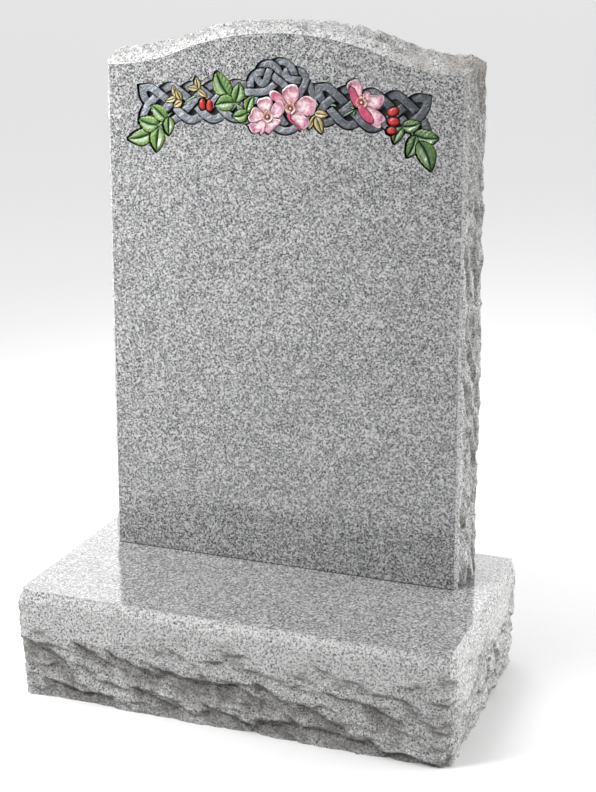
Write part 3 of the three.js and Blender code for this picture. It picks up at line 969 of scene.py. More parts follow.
def leaf(foot, tip, width, bow=0.0, toothed=True):
    """A leaf with a rib, veins and a toothed edge, or a small plain bract."""
    front = settings().carving.leaf_depth / MM + 0.4
    bottom = foot_depth()
    outline = leaf_outline(foot, tip, width, bow, 0)
    teeth = 6 if toothed else 0
    seed = tip[0] + tip[1]

    def place(u, side, raised):
        tooth = (u * teeth + 0.3 * noise.noise(Vector((u * 5, seed, 0)))) % 1
        cut = 0.15 * (tooth**0.8 - 0.5) if toothed else 0
        spot = outline(u, side, 1 + cut * smooth(abs(side), 0.5, 1))
        if not raised:
            return spot.x, spot.y, bottom
        off = abs(side)
        rib = 2.1 * math.exp(-((side / 0.11) ** 2)) * smooth(1 - u, 0, 0.25)
        swell = -1.2 * math.sin(math.pi * off) ** 1.2 * math.sin(math.pi * clamp(u)) ** 0.5
        vein = 0.0
        if toothed:
            ahead = (u * teeth - off * 1.5) % 1
            vein = 0.8 * math.exp(-((min(ahead, 1 - ahead) / 0.15) ** 2)) * smooth(off, 0.05, 0.3)
        edge = 1.6 * smooth(off, 0.8, 1) ** 2 + 1.0 * smooth(abs(2 * u - 1), 0.75, 1)
        curl = 0.9 * side + 0.5 * noise.noise(Vector((u * 2.2, side * 1.3, seed)))
        surface = front + swell + rib + vein + edge + curl
        return spot.x, spot.y, max(0.2, surface)
    columns, rows = (40, 20) if toothed else (16, 10)
    paint = leaf_paint() if toothed else bract_paint()
    return block(columns, rows, place, [recess_black(), paint])


def leaf_sinking(foot, tip, width, bow, gap, depth):
    return well(20, 1, leaf_outline(foot, tip, width, bow, gap), depth)


def petal_outline(middle, lip, gap):
    """The way to a place in a petal, whose lip is given by angles and reaches."""
    angles = [angle for angle, _ in lip]
    turn = math.copysign(math.degrees(gap / 24), angles[-1] - angles[0])
    ends = (angles[0] - turn, angles[-1] + turn)
    order = sorted((point.x, point.y) for point in through(lip, 1))
    known_angles, known_reaches = zip(*order)

    def place(u, side, wave=0.0):
        angle = mix(*ends, (side + 1) / 2)
        reach = float(np.interp(angle, known_angles, known_reaches))
        out = mix(PETAL_FOOT, reach * (1 + wave) + gap, u)
        heading = math.radians(angle)
        return middle[0] + out * math.cos(heading), middle[1] + out * math.sin(heading)
    return place


def petal(middle, lip, turned):
    """A cupped petal with a rolled lip. `turned` is 1 where its underside shows."""
    bottom = foot_depth()
    outline = petal_outline(middle, lip, 0)
    seed = lip[0][0] + middle[0]

    def place(u, side, raised):
        wave = 0.02 * noise.noise(Vector((seed, side * 4, 3)))
        x, z = outline(u, side, wave)
        if not raised:
            return x, z, bottom
        off = abs(side)
        cup = 1.5 * (1 - u) ** 1.2 + 1.3 * (1 - side**2) * math.sin(math.pi * clamp(u) ** 1.3)
        if turned > 0.9:
            cup = 1.1 * side**2 + 0.5 * (1 - u)
        roll = 1.9 * smooth(u, 0.9, 1) + 1.6 * smooth(off, 0.86, 1)
        fold = 0.9 * noise.noise(Vector((x / 7, z / 7, seed)))
        ripple = 0.35 * noise.noise(Vector((x / 2.8, z / 2.8, seed)))
        furrow = 0.15 * math.cos(side * 19 + 2 * u) * smooth(u, 0.1, 0.5)
        return x, z, max(0.25, 0.9 + cup + roll + fold + ripple + furrow)
    return block(20, 24, place, [recess_black(), petal_paint()], lambda u, side: turned)


def petal_sinking(middle, lip, gap, depth):
    return well(1, 24, petal_outline(middle, lip, gap), depth)


def rose_heart(middle, first, last):
    """A dished heart with a knob and an arc of stamens, from one angle to another."""
    bottom = foot_depth()
    anthers = []
    for i in range(STAMENS):
        angle = math.radians(mix(first, last, i / (STAMENS - 1)))
        reach = 7.9 if i % 2 else 6.2
        anthers.append((reach * math.cos(angle), reach * math.sin(angle)))

    def stamen(x, z):
        return max(math.exp(-(((x - a) ** 2 + (z - b) ** 2) / 1.6)) for a, b in anthers)

    def spread(u, side):
        first = 2 * u - 1
        x, z = first * math.sqrt(1 - side * side / 2), side * math.sqrt(1 - first * first / 2)
        return x * HEART_RADIUS, z * HEART_RADIUS

    def place(u, side, raised):
        x, z = spread(u, side)
        if not raised:
            return middle[0] + 0.7 * x, middle[1] + 0.7 * z, bottom
        reach = math.hypot(x, z)
        knob = 3.0 * math.exp(-((reach / 2.2) ** 4))
        bowl = 3.4 - 1.7 * smooth(reach, 2.8, 7)
        rim = 1.4 * smooth(reach, HEART_RADIUS - 1.4, HEART_RADIUS)
        return middle[0] + x, middle[1] + z, max(0.2, bowl - knob - 1.6 * stamen(x, z) + rim)

    def tint(u, side):
        x, z = spread(u, side)
        pistil = 1 - smooth(math.hypot(x, z), 1.6, 2.2)
        return max(0.5 * pistil, smooth(stamen(x, z), 0.25, 0.5))
    return block(34, 34, place, [recess_black(), heart_paint()], tint)


def hip(middle, long, wide, tilt):
    """A bead with a dark dried tip."""
    deselect()
    bpy.ops.mesh.primitive_uv_sphere_add(segments=32, ring_count=20, radius=1)
    piece = bpy.context.object
    recess = settings().carving.recess / MM
    tints = piece.data.attributes.new("tint", "FLOAT", "POINT")
    for vertex in piece.data.vertices:
        deep, beside, along_it = vertex.co
        pinch = 1 - 0.1 * (along_it + 1)
        tints.data[vertex.index].value = smooth(along_it, 0.93, 0.99)
        depth = recess + deep * (recess - HIP_DEPTH)
        x, z = along_it * (long + HIP_SWELL), beside * pinch * (wide + HIP_SWELL)
        vertex.co = bead(middle, x, z, tilt, depth)
    piece.data.materials.append(hip_paint())
    return face_outwards(piece)


def hip_sinking(middle, long, wide, tilt, gap, depth):
    deselect()
    bpy.ops.mesh.primitive_cylinder_add(vertices=32, radius=1, depth=1)
    piece = bpy.context.object
    piece.data.attributes.new("tint", "FLOAT", "POINT")
    for vertex in piece.data.vertices:
        x, z, up = vertex.co
        level = -ABOVE if up > 0 else depth
        vertex.co = bead(middle, x * (long + gap), z * (wide + gap), tilt, level)
    piece.data.materials.append(recess_black())
    return face_outwards(piece)


def bead(middle, x, z, tilt, depth):
    turn = math.radians(tilt)
    return on_face(
        middle[0] + x * math.cos(turn) - z * math.sin(turn),
        middle[1] + x * math.sin(turn) + z * math.cos(turn), depth,
    )


def plait_sinking(start, depth):
    """The ground between the strands of a plait."""
    low, high = start - PLAIT_OVERRUN, start + PLAIT_LENGTH + PLAIT_OVERRUN

    def outline(u, side):
        x = mix(low, high, u)
        return x, plait_middle(x) + side * PLAIT_GROUND
    return well(1, 1, outline, depth)


def crown_sinking(depth):
    """The ground behind the interlace, as an extruded outline."""
    deselect()
    bpy.ops.mesh.primitive_circle_add(vertices=len(CROWN_GROUND), fill_type="NGON")
    piece = bpy.context.object
    for vertex, (x, z) in zip(piece.data.vertices, CROWN_GROUND):
        vertex.co = on_face(x, z, -ABOVE)
    edit(piece, "FACE")
    bpy.ops.mesh.select_all(action="SELECT")
    run = {"value": (0, (ABOVE + depth) * MM, 0)}
    bpy.ops.mesh.extrude_region_move(TRANSFORM_OT_translate=run)
    leave()
    piece.data.attributes.new("tint", "FLOAT", "POINT")
    piece.data.materials.append(recess_black())
    return face_outwards(piece)


class MEMORIAL_OT_carving(bpy.types.Operator):
    """Sink the band into the headstone's face and carve the knotwork, leaves and roses in it"""

    bl_idname = "memorial.carving"
    bl_label = "Carving"

    def execute(self, context):
        stone = bpy.data.objects["carved_headstone"]
        stone.data.attributes.new("tint", "FLOAT", "POINT")
        sizes = settings().carving
        recess, gap = sizes.recess / MM, sizes.outline / MM
        starts = (-PLAIT_START - PLAIT_LENGTH, PLAIT_START)
        wide, narrow = sizes.strand / MM, sizes.crown_strand / MM
        strands = [(line, wide, n) for n, line in enumerate(plait(starts[0]) + plait(starts[1]))]
        for owner, points in enumerate(CROWN_KNOT, len(strands)):
            strands += [(half, narrow, owner) for half in halves(through(points, 2))]
        covered = covering(strands, PASSING_GAP)
        carving = combine_all(
            [strand(number, strands, covered) for number in range(len(strands))]
        )
        sinkings = [band_sinking(line, width, gap, recess) for line, width, _ in strands]
        sinkings += [plait_sinking(start, recess) for start in starts]
        sinkings.append(crown_sinking(recess))
        for make, shape, sink, outline in self.forms():
            if sink:
                sinkings.append(sink(*outline, gap, recess))
                combine(carving, sink(*outline, WELL_GAP, WELL_DEPTH), "DIFFERENCE")
            combine(carving, make(*shape), "UNION")
        combine(stone, combine_all(staggered(sinkings)), "DIFFERENCE")
        combine(stone, carving, "UNION")
        finish_stone(stone, "headstone")
        return {"FINISHED"}

    def forms(self):
        """The forms that lie on the knotwork, from the back one to the front one: how each is
        made, its shape, how it is sunk and the part of its shape that the sinking needs."""
        lines = [through(points, 3) for points in STEMS]
        forms = [(stem, (line,), band_sinking, (line, STEM_WIDTH - 1)) for line in lines]
        forms += [(leaf, one, leaf_sinking, one) for one in LEAVES]
        forms += [(leaf, (*one, 0, False), leaf_sinking, (*one, 0)) for one in BRACTS]
        for middle, petals, stamens in ROSES:
            for lip, turned in petals:
                forms.append((petal, (middle, lip, turned), petal_sinking, (middle, lip)))
            forms.append((rose_heart, (middle, *stamens), None, ()))
        return forms + [(hip, one, hip_sinking, one) for one in HIPS]


# Node groups and materials

class Graph:
    """A node tree with short ways to add and join nodes."""

    def __init__(self, tree):
        self.tree = tree

    def add(self, kind, inputs=None, **choices):
        node = self.tree.nodes.new("ShaderNode" + kind)
        for name, value in choices.items():
            setattr(node, name, value)
        for name, value in (inputs or {}).items():
            self.feed(node.inputs[name], value)
        return node

    def feed(self, socket, value):
        """Links a socket to another one, or sets its own value."""
        if isinstance(value, bpy.types.NodeSocket):
            self.tree.links.new(value, socket)
        elif socket.type == "RGBA":
            socket.default_value = (*value, 1.0)
        else:
            socket.default_value = value

    def group(self, tree, inputs):
        return self.add("Group", inputs, node_tree=tree).outputs

    def place(self):
        return self.add("TexCoord").outputs["Object"]

    def parts(self, vector):
        return self.add("SeparateXYZ", {0: vector}).outputs

    def attribute(self, name):
        return self.add("Attribute", attribute_name=name).outputs["Fac"]

    def noise(self, place, scale, detail=2.0, roughness=0.5):
        inputs = {"Vector": place, "Scale": scale, "Detail": detail, "Roughness": roughness}
        return self.add("TexNoise", inputs).outputs["Fac"]

    def math(self, operation, first, second=0.0):
        return self.add("Math", {0: first, 1: second}, operation=operation).outputs[0]

    def product(self, first, *others):
        for other in others:
            first = self.math("MULTIPLY", first, other)
        return first

    def most(self, first, *others):
        for other in others:
            first = self.math("MAXIMUM", first, other)
        return first

    def ramp(self, value, low, high, start=0.0, end=1.0):
        ends = {"Value": value, "From Min": low, "From Max": high, "To Min": start, "To Max": end}
        return self.add("MapRange", ends, interpolation_type="SMOOTHSTEP").outputs["Result"]

    def blend(self, factor, first, second, mode="MIX"):
        node = self.add("Mix", {0: factor, 6: first, 7: second}, data_type="RGBA", blend_type=mode)
        return node.outputs[2]

    def layers(self, ground, *coats):
        """A colour under coats of others, each with the mask that says where it lies."""
        for mask, coat in coats:
            ground = self.blend(mask, ground, coat)
        return ground

    def bump(self, shader, height, amount, distance):
        inputs = {"Strength": amount, "Distance": distance, "Height": height}
        self.feed(shader["Normal"], self.add("Bump", inputs).outputs[0])


def makes_group(name, inputs, outputs):
    """Turns a function that joins a group's nodes into one that gives the group, which is
    made the first time that it is asked for."""
    def decorate(join):
        def give():
            tree = bpy.data.node_groups.get(name)
            if tree:
                return tree
            tree = bpy.data.node_groups.new(name, "ShaderNodeTree")
            for title, value in inputs.items():
                is_colour = isinstance(value, tuple)
                kind = "NodeSocketColor" if is_colour else "NodeSocketFloat"
                socket = tree.interface.new_socket(title, in_out="INPUT", socket_type=kind)
                socket.default_value = (*value, 1.0) if is_colour else value
            for title, kind in outputs.items():
                tree.interface.new_socket(title, in_out="OUTPUT", socket_type="NodeSocket" + kind)
            source, sink = tree.nodes.new("NodeGroupInput"), tree.nodes.new("NodeGroupOutput")
            join(Graph(tree), source.outputs, sink.inputs)
            return tree
        return give
    return decorate


def makes_material(name):
    """The same for a function that sets up a material."""
    def decorate(set_up):
        def give():
            material = bpy.data.materials.get(name)
            if material:
                return material
            material = bpy.data.materials.new(name)
            material.use_nodes = True
            tree = material.node_tree
            set_up(Graph(tree), tree.nodes["Principled BSDF"].inputs)
            return material
        return give
    return decorate


# Tones within the finishes, beside the colours that a user would change
WHITE = (1.0, 1.0, 1.0)
BLACK = (0.012, 0.013, 0.016)
WORN_BLACK = (0.05, 0.053, 0.06)
MASTIC = (0.03, 0.028, 0.026)
DARKER_UPPER_RIGHT = (0.30, 0.265, 0.24)
KNOT_SHADED_AT_RIGHT = (0.42, 0.42, 0.43)
KNOT_DARK = (0.055, 0.063, 0.078)
KNOT_LIGHT = (0.44, 0.47, 0.51)
LEAF_SHADED_AT_RIGHT = (0.045, 0.115, 0.03)
LEAF_LIGHT = (0.20, 0.34, 0.085)
LEAF_DARK = (0.02, 0.055, 0.018)
LEAF_RIM = (0.30, 0.42, 0.13)
LEAF_STROKES = (0.66, 0.72, 0.60)
LEAF_RIB = (0.012, 0.032, 0.012)
LEAF_EDGE = (0.012, 0.025, 0.012)
PETAL_PALE = (0.74, 0.63, 0.60)
PETAL_DEEP = (0.20, 0.035, 0.07)
PETAL_LIP = (0.68, 0.56, 0.56)
UNDERSIDE_STREAKS = (0.50, 0.09, 0.17)
BRACT_LIGHT = (0.60, 0.55, 0.36)
BRACT_SHADE = (0.20, 0.15, 0.065)
BRACT_RIB = (0.08, 0.055, 0.02)
BRACT_EDGE = (0.10, 0.07, 0.03)
HIP_LIGHT = (0.60, 0.14, 0.10)
HIP_DARK = (0.17, 0.01, 0.014)
HIP_TIP = (0.03, 0.02, 0.02)
HEART_DISH = (0.62, 0.45, 0.40)
HEART_MARKS = (0.33, 0.10, 0.13)
HEART_RING = (0.035, 0.022, 0.012)
HEART_KNOB = (0.60, 0.53, 0.27)
HEART_ANTHERS = (0.62, 0.21, 0.03)
HEART_RIM = (0.18, 0.04, 0.07)
STEM_GREEN = (0.17, 0.27, 0.13)
STEM_LIGHT = (0.35, 0.46, 0.30)
STEM_EDGE = (0.03, 0.06, 0.03)


@makes_group(
    "Granite Grain",
    {"Size": 2.4 * MM, "Pale": WHITE, "Grey": (0.5,) * 3, "Dark": (0.05,) * 3, "Dark Share": 0.1},
    {"Colour": "Color", "Mica": "Float", "Relief": "Float"},
)
def granite_grain(graph, given, made):
    """Pale, grey and dark grains a few millimetres across, and their relief."""
    place = graph.place()
    bend = graph.add("TexNoise", {"Vector": place, "Scale": 260.0, "Detail": 2.0}).outputs["Color"]
    shift = graph.add("VectorMath", {0: bend, 1: (0.5, 0.5, 0.5)}, operation="SUBTRACT").outputs[0]
    shift = graph.add("VectorMath", {0: shift, "Scale": 4 * MM}, operation="SCALE").outputs[0]
    bent = graph.add("VectorMath", {0: place, 1: shift}, operation="ADD").outputs[0]
    scale = graph.math("DIVIDE", 1.0, given["Size"])
    cells = graph.add("TexVoronoi", {"Vector": bent, "Scale": scale})
    parts = graph.add("SeparateColor", {"Color": cells.outputs["Color"]}).outputs
    body = graph.blend(graph.ramp(parts["Red"], 0.25, 0.85), given["Grey"], given["Pale"])
    broad = graph.noise(place, 320.0, 3.0, 0.6)
    cloud = graph.noise(place, 22.0)
    tone = graph.product(
        graph.ramp(broad, 0.25, 0.75, 0.78, 1.16), graph.ramp(cloud, 0.3, 0.7, 0.95, 1.04)
    )
    body = graph.blend(1.0, body, tone, "MULTIPLY")
    flecks = graph.add("TexVoronoi", {"Vector": bent, "Scale": graph.product(scale, 0.8)})
    chance = graph.add("SeparateColor", {"Color": flecks.outputs["Color"]}).outputs["Green"]
    rare = graph.math("LESS_THAN", chance, given["Dark Share"])
    near = graph.ramp(flecks.outputs["Distance"], 0.35, 0.58, 1.0, 0.0)
    mica = graph.product(rare, near)
    graph.feed(made["Colour"], graph.blend(mica, body, given["Dark"]))
    graph.feed(made["Mica"], mica)
    graph.feed(made["Relief"], graph.math("ADD", parts["Blue"], graph.product(broad, 0.8)))


@makes_group(
    "Recess Shade", {"Face": 0.0, "Clear": 5.0 * MM, "Black": 6.0 * MM}, {"Depth": "Float"}
)
def recess_shade(graph, given, made):
    """How deep a surface lies behind the polished face, from 0 where it is painted in colour
    to 1 where it is blackened."""
    place = graph.place()
    ragged = graph.ramp(graph.noise(place, 300.0), 0.3, 0.7, -0.25 * MM, 0.25 * MM)
    behind = graph.math("SUBTRACT", graph.parts(place)["Y"], given["Face"])
    depth = graph.math("ADD", behind, ragged)
    graph.feed(made["Depth"], graph.ramp(depth, given["Clear"], given["Black"]))


@makes_group("Brush Marks", {"Scale": 200.0, "Stretch": 1.0}, {"Light": "Float", "Dark": "Float"})
def brush_marks(graph, given, made):
    """Short dabs of a small brush, as light and dark marks."""
    place = graph.place()
    turned = graph.add("Mapping", {"Vector": place, "Rotation": (0.0, 0.6, 0.0)}).outputs[0]
    parts = graph.parts(turned)
    long = graph.math("DIVIDE", parts["X"], given["Stretch"])
    joined = graph.add("CombineXYZ", {0: long, 1: parts["Y"], 2: parts["Z"]}).outputs[0]
    first = graph.noise(joined, given["Scale"], 3.0, 0.6)
    second = graph.noise(place, graph.product(given["Scale"], 1.7))
    graph.feed(made["Light"], graph.ramp(first, 0.52, 0.68))
    graph.feed(made["Dark"], graph.ramp(second, 0.48, 0.34))


def granite(graph, size, pale, grey, share_of_dark):
    dark = settings().finish.dark
    return graph.group(granite_grain(), {
        "Size": size, "Pale": pale, "Grey": grey, "Dark": dark, "Dark Share": share_of_dark,
    })


@makes_material("Polished Granite")
def polished_granite(graph, shader):
    finish = settings().finish
    grains = granite(graph, 2.0 * MM, finish.pale, finish.grey, 0.3)
    graph.feed(shader["Base Color"], grains["Colour"])
    graph.feed(shader["Roughness"], graph.ramp(grains["Mica"], 0.0, 1.0, 0.1, 0.16))
    graph.bump(shader, grains["Relief"], 0.03, 0.1 * MM)
    graph.feed(shader["IOR"], 1.7)


@makes_material("Pitched Granite")
def pitched_granite(graph, shader):
    """Broken stone, whitened where the chisel crushed it, darkened in its hollows partly by grime
    and partly as painted shade and under its ledges as painted shade, and darker and browner in
    patches on its upper right shoulder."""
    finish = settings().finish
    grains = granite(graph, 1.8 * MM, finish.broken_pale, finish.broken_grey, 0.37)
    place = graph.place()
    parts = graph.parts(place)
    patch = graph.ramp(graph.noise(place, 35.0, 4.0, 0.65), 0.35, 0.65)
    crushed = graph.product(
        graph.ramp(graph.noise(place, 300.0, 3.0, 0.65), 0.45, 0.6),
        graph.ramp(graph.attribute("struck"), 0.0, 1.0, 0.55, 0.9),
    )
    # Dirt and painted shade: the hollow attribute darkens hollows and the undersides of ledges.
    dirt_and_shade = graph.product(graph.attribute("hollow"), graph.ramp(patch, 0.0, 1.0, 0.6, 1.0), 0.93)
    # Darker, browner patches on the upper right shoulder of the broken stone.
    darker_upper_right = graph.product(
        graph.ramp(parts["X"], 0.1, 0.26), graph.ramp(parts["Z"], 0.82, 0.91),
        graph.ramp(patch, 0.0, 1.0, 0.1, 0.6),
    )
    graph.feed(shader["Base Color"], graph.layers(
        grains["Colour"], (crushed, finish.crushed), (dirt_and_shade, finish.stain_and_shade), (darker_upper_right, DARKER_UPPER_RIGHT)
    ))
    graph.feed(shader["Roughness"], 0.82)
    fine = graph.noise(place, 600.0, 3.0, 0.7)
    rough = graph.product(graph.noise(place, 240.0, 3.0, 0.6), 1.6)
    height = graph.math("ADD", graph.math("ADD", grains["Relief"], fine), rough)
    graph.bump(shader, height, 1.0, 2.2 * MM)


@makes_material("Joint Mastic")
def joint_mastic(graph, shader):
    graph.feed(shader["Base Color"], MASTIC)
    graph.feed(shader["Roughness"], 0.8)


@makes_material("Recess Black")
def recess_black(graph, shader):
    worn = graph.ramp(graph.noise(graph.place(), 260.0, 3.0), 0.55, 0.8, 0.0, 0.2)
    graph.feed(shader["Base Color"], graph.blend(worn, BLACK, WORN_BLACK))
    graph.feed(shader["Roughness"], 0.6)


def paint_finish(graph, shader, paint, roughness, clear=5.0 * MM, black=6.0 * MM):
    """Blackens the paint where it runs down into the recess, and sets its sheen."""
    inputs = {"Face": stone_low.y, "Clear": clear, "Black": black}
    depth = graph.group(recess_shade(), inputs)["Depth"]
    graph.feed(shader["Base Color"], graph.blend(depth, paint, BLACK))
    graph.feed(shader["Roughness"], roughness)


def marks(graph, scale, stretch=1.0):
    return graph.group(brush_marks(), {"Scale": scale, "Stretch": stretch})


def across(graph):
    """The place along a form, the place across it from -1 to 1, and the distance from its
    middle line."""
    uv = graph.parts(graph.add("UVMap").outputs[0])
    side = graph.math("SUBTRACT", graph.product(uv["Y"], 2.0), 1.0)
    return uv["X"], side, graph.math("ABSOLUTE", side)


def right_hand_shade(graph):
    """0 at the left of the headstone and 1 at its right, where the paint is darkened as painted
    shade, as if lit from the left.
    """
    return graph.ramp(graph.parts(graph.place())["X"], -0.1, 0.16)


@makes_material("Knot Paint")
def knot_paint(graph, shader):
    dabs = marks(graph, 300.0, 2.4)
    _, _, off = across(graph)
    light = graph.most(
        graph.product(dabs["Light"], 0.9),
        graph.ramp(off, 0.6, 0.8, 0.0, 0.25),
        graph.product(marks(graph, 520.0, 2.0)["Light"], 0.7),
    )
    paint = graph.layers(settings().finish.knot, (dabs["Dark"], KNOT_DARK), (light, KNOT_LIGHT))
    # Painted shade: the knotwork is darkened towards the right of the headstone.
    shade = graph.blend(right_hand_shade(graph), WHITE, KNOT_SHADED_AT_RIGHT)
    paint = graph.layers(
        graph.blend(1.0, paint, shade, "MULTIPLY"),
        (graph.ramp(off, 0.9, 1.0), BLACK),
        (graph.ramp(graph.attribute("tint"), 0.3, 0.6), BLACK),
    )
    paint_finish(graph, shader, paint, 0.5)
    graph.bump(shader, dabs["Light"], 0.6, 0.5 * MM)


@makes_material("Leaf Paint")
def leaf_paint(graph, shader):
    """Green with a pale rim, pale strokes on the half that catches the light, and a dark rib."""
    dabs = marks(graph, 170.0, 2.6)
    u, side, off = across(graph)
    # Painted shade: towards the right of the headstone the leaves are darker and their pale rim
    # weaker.
    right = right_hand_shade(graph)
    pale_half = graph.ramp(side, -0.12, 0.04, 1.0, 0.0)
    from_middle = graph.math("ABSOLUTE", graph.math("SUBTRACT", u, 0.5))
    rim = graph.product(graph.ramp(off, 0.66, 0.82), graph.ramp(right, 0.0, 1.0, 0.55, 0.4))
    strokes = graph.product(
        graph.ramp(off, 0.08, 0.3), graph.ramp(off, 0.72, 0.5),
        graph.ramp(from_middle, 0.42, 0.2),
        graph.ramp(marks(graph, 120.0, 1.6)["Light"], 0.0, 0.8, 0.3, 1.0),
        graph.ramp(pale_half, 0.0, 1.0, 0.16, 1.0),
    )
    dark_half = graph.product(
        graph.ramp(off, 0.0, 0.45, 0.85, 0.0), graph.ramp(pale_half, 0.0, 1.0, 1.0, 0.0)
    )
    paint_finish(graph, shader, graph.layers(
        settings().finish.leaf,
        # Painted shade towards the right of the headstone.
        (right, LEAF_SHADED_AT_RIGHT),
        (graph.product(dabs["Light"], 0.55), LEAF_LIGHT),
        (graph.product(dabs["Dark"], 0.6), LEAF_DARK),
        (rim, LEAF_RIM),
        (strokes, LEAF_STROKES),
        (graph.most(dark_half, graph.ramp(off, 0.05, 0.14, 0.9, 0.0)), LEAF_RIB),
        (graph.ramp(off, 0.94, 1.0), LEAF_EDGE),
    ), 0.42)


@makes_material("Petal Paint")
def petal_paint(graph, shader):
    """Pink, streaked from the foot, pale in the middle and deeper inside a pale lip, or dark
    red where the tint says that the underside shows."""
    finish = settings().finish
    u, side, off = across(graph)
    turned = graph.attribute("tint")
    mottle = graph.ramp(graph.noise(graph.place(), 170.0, 3.0, 0.6), 0.36, 0.62)
    fan = {0: graph.product(side, 9.0), 1: graph.product(u, 1.6)}
    streaks = graph.noise(graph.add("CombineXYZ", fan).outputs[0], 1.8, 3.0, 0.6)
    streaks = graph.ramp(streaks, 0.38, 0.62)
    middle = graph.product(
        graph.ramp(u, 0.84, 0.6), graph.ramp(off, 0.85, 0.55),
        graph.ramp(mottle, 0.2, 0.9, 0.15, 0.85),
    )
    blush = graph.product(
        graph.most(graph.ramp(u, 0.6, 0.86), graph.ramp(off, 0.66, 0.9)),
        graph.ramp(mottle, 0.0, 1.0, 1.0, 0.5),
    )
    lip = graph.product(
        graph.most(graph.ramp(u, 0.9, 0.95), graph.ramp(off, 0.9, 0.95)),
        graph.ramp(turned, 0.6, 1.0, 0.85, 0.1),
    )
    underside = graph.blend(streaks, finish.underside, UNDERSIDE_STREAKS)
    paint_finish(graph, shader, graph.layers(
        finish.blush,
        (mottle, finish.petal),
        (graph.ramp(streaks, 0.0, 1.0, 0.65, 0.15), finish.petal),
        (middle, PETAL_PALE),
        (blush, finish.blush),
        (graph.ramp(u, 0.42, 0.1, 0.0, 0.9), PETAL_DEEP),
        (graph.ramp(turned, 0.0, 0.9), underside),
        (lip, PETAL_LIP),
    ), 0.4)


@makes_material("Bract Paint")
def bract_paint(graph, shader):
    dabs = marks(graph, 300.0, 2.0)
    _, side, off = across(graph)
    paint_finish(graph, shader, graph.layers(
        settings().finish.bract,
        (dabs["Light"], BRACT_LIGHT),
        (graph.ramp(side, 0.0, 0.7, 0.0, 0.45), BRACT_SHADE),
        (graph.ramp(off, 0.3, 0.0, 0.0, 0.85), BRACT_RIB),
        (graph.ramp(off, 0.86, 1.0, 0.0, 0.8), BRACT_EDGE),
    ), 0.5)


@makes_material("Hip Paint")
def hip_paint(graph, shader):
    dabs = marks(graph, 260.0)
    paint_finish(graph, shader, graph.layers(
        settings().finish.hip,
        (graph.product(dabs["Light"], 0.3), HIP_LIGHT),
        (graph.product(dabs["Dark"], 0.5), HIP_DARK),
        (graph.attribute("tint"), HIP_TIP),
    ), 0.18, clear=3.2 * MM, black=5.4 * MM)


@makes_material("Heart Paint")
def heart_paint(graph, shader):
    """A blushed dish with a dark ring in it, and a tint for the knob and the anthers."""
    dabs = marks(graph, 420.0)
    tint = graph.attribute("tint")
    u, side, _ = across(graph)
    first = graph.math("SUBTRACT", graph.product(u, 2.0), 1.0)
    squares = graph.math("ADD", graph.math("POWER", first, 2.0), graph.math("POWER", side, 2.0))
    reach = graph.math("SQRT", squares)
    ring = graph.product(graph.ramp(reach, 0.18, 0.26), graph.ramp(reach, 0.48, 0.38))
    paint_finish(graph, shader, graph.layers(
        HEART_DISH,
        (dabs["Dark"], HEART_MARKS),
        (ring, HEART_RING),
        (graph.ramp(tint, 0.2, 0.45), HEART_KNOB),
        (graph.ramp(tint, 0.55, 0.8), HEART_ANTHERS),
        (graph.ramp(reach, 0.9, 1.0), HEART_RIM),
    ), 0.4)


@makes_material("Stem Paint")
def stem_paint(graph, shader):
    dabs = marks(graph, 300.0)
    _, _, off = across(graph)
    paint_finish(graph, shader, graph.layers(
        STEM_GREEN, (dabs["Light"], STEM_LIGHT), (graph.ramp(off, 0.6, 1.0), STEM_EDGE)
    ), 0.45)


@makes_material("Studio Floor")
def pale_floor(graph, shader):
    graph.feed(shader["Base Color"], settings().finish.floor)
    graph.feed(shader["Roughness"], 0.9)


# Studio

# Lights: name, place, aim and width in metres, and spread in degrees. Their powers are in
# the studio's settings.
LIGHTS = [
    ("key", (-0.9, -0.7, 3.6), (0, 0, 0.45), 1.6, 180),
    ("side", (-1.9, -1.9, 2.3), (-0.45, 0, 0.75), 0.8, 55),
    ("corner", (-1.2, -1, 1.7), (-0.55, 0, 0.8), 0.6, 60),
    ("low", (1.9, 0.4, 0.35), (0.2, 0, 0.2), 1, 90),
]
FLOOR_THICKNESS = 0.02
CLIP_END = 200


def soft_light(name, place, aim, size, spread, power):
    deselect()
    bpy.ops.object.light_add(type="AREA", location=place)
    light = bpy.context.object
    light.name = name
    light.visible_camera = False
    light.data.shape = "DISK"
    light.data.size = size
    light.data.energy = power
    light.data.spread = math.radians(spread)
    light.rotation_euler = (Vector(aim) - Vector(place)).to_track_quat("-Z", "Y").to_euler()


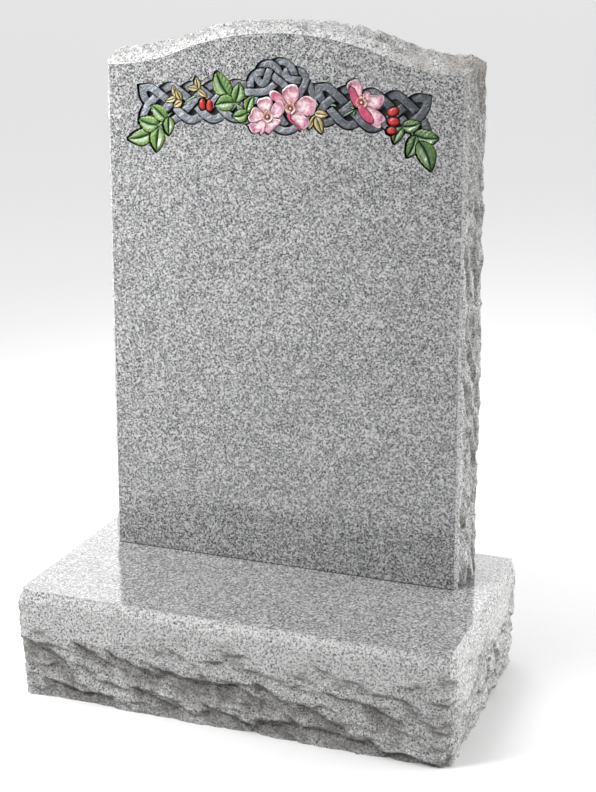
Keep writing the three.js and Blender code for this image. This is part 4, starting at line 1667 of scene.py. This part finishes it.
class MEMORIAL_OT_studio(bpy.types.Operator):
    """Lay a plain pale floor, hang soft lights and place the camera"""

    bl_idname = "memorial.studio"
    bl_label = "Studio"

    def execute(self, context):
        studio = settings().studio
        self.floor(context, studio)
        self.lights(context, studio)
        deselect()
        bpy.ops.object.camera_add(
            location=studio.eye, rotation=(math.pi / 2 - studio.pitch, 0, studio.yaw)
        )
        camera = context.object
        camera.name = "studio_camera"
        camera.data.lens = studio.lens
        camera.data.shift_y = studio.rise
        camera.data.clip_end = CLIP_END
        context.scene.camera = camera
        return {"FINISHED"}

    def floor(self, context, studio):
        deselect()
        bpy.ops.mesh.primitive_circle_add(
            vertices=96, radius=studio.floor_radius, fill_type="NGON", location=(0, 0, 0)
        )
        floor = context.object
        floor.name = "studio_floor"
        edit(floor, "FACE")
        bpy.ops.mesh.select_all(action="SELECT")
        bpy.ops.mesh.extrude_region_move(TRANSFORM_OT_translate={"value": (0, 0, -FLOOR_THICKNESS)})
        leave_outwards()
        floor.data.materials.append(pale_floor())

    def lights(self, context, studio):
        for name, *setting in LIGHTS:
            soft_light(name + "_light", *setting, getattr(studio, name))
        world = bpy.data.worlds.new("Studio World")
        world.use_nodes = True
        graph = Graph(world.node_tree)
        way = graph.parts(graph.add("TexCoord").outputs["Generated"])
        overhead = graph.ramp(way["Z"], 0.5, 0.85, 0.0, studio.sky)
        low = graph.ramp(way["Z"], 0.75, 0.5, 0.0, studio.backdrop)
        behind = graph.product(low, graph.ramp(way["Y"], 0.1, 0.6))
        sky = world.node_tree.nodes["Background"].inputs
        graph.feed(sky["Color"], WHITE)
        graph.feed(sky["Strength"], graph.math("ADD", overhead, behind))
        context.scene.world = world
        context.scene.view_settings.view_transform = "Standard"


class MEMORIAL_PT_panel(bpy.types.Panel):
    """Sizes, colours and steps of the memorial"""

    bl_idname = "MEMORIAL_PT_panel"
    bl_label = "Lawn Memorial"
    bl_space_type = "VIEW_3D"
    bl_region_type = "UI"
    bl_category = "Memorial"

    def draw(self, context):
        layout = self.layout
        for step in STEPS:
            layout.operator(step.bl_idname)
        for title in MemorialSettings.__annotations__:
            box = layout.box()
            group = getattr(context.scene.memorial, title)
            box.label(text=title.capitalize())
            for name in group.__annotations__:
                box.prop(group, name)


STEPS = (MEMORIAL_OT_base, MEMORIAL_OT_headstone, MEMORIAL_OT_carving, MEMORIAL_OT_studio)
CLASSES = (
    HeadstoneSizes, BaseSizes, CarvingSizes, FinishColours, StudioSettings, MemorialSettings,
    *STEPS, MEMORIAL_PT_panel,
)


def register():
    for one in CLASSES:
        bpy.utils.register_class(one)
    bpy.types.Scene.memorial = bpy.props.PointerProperty(type=MemorialSettings)


def unregister():
    del bpy.types.Scene.memorial
    for one in reversed(CLASSES):
        bpy.utils.unregister_class(one)


def main():
    register()
    bpy.ops.memorial.base()
    bpy.ops.memorial.headstone()
    bpy.ops.memorial.carving()
    bpy.ops.memorial.studio()


if __name__ == "__main__":
    main()
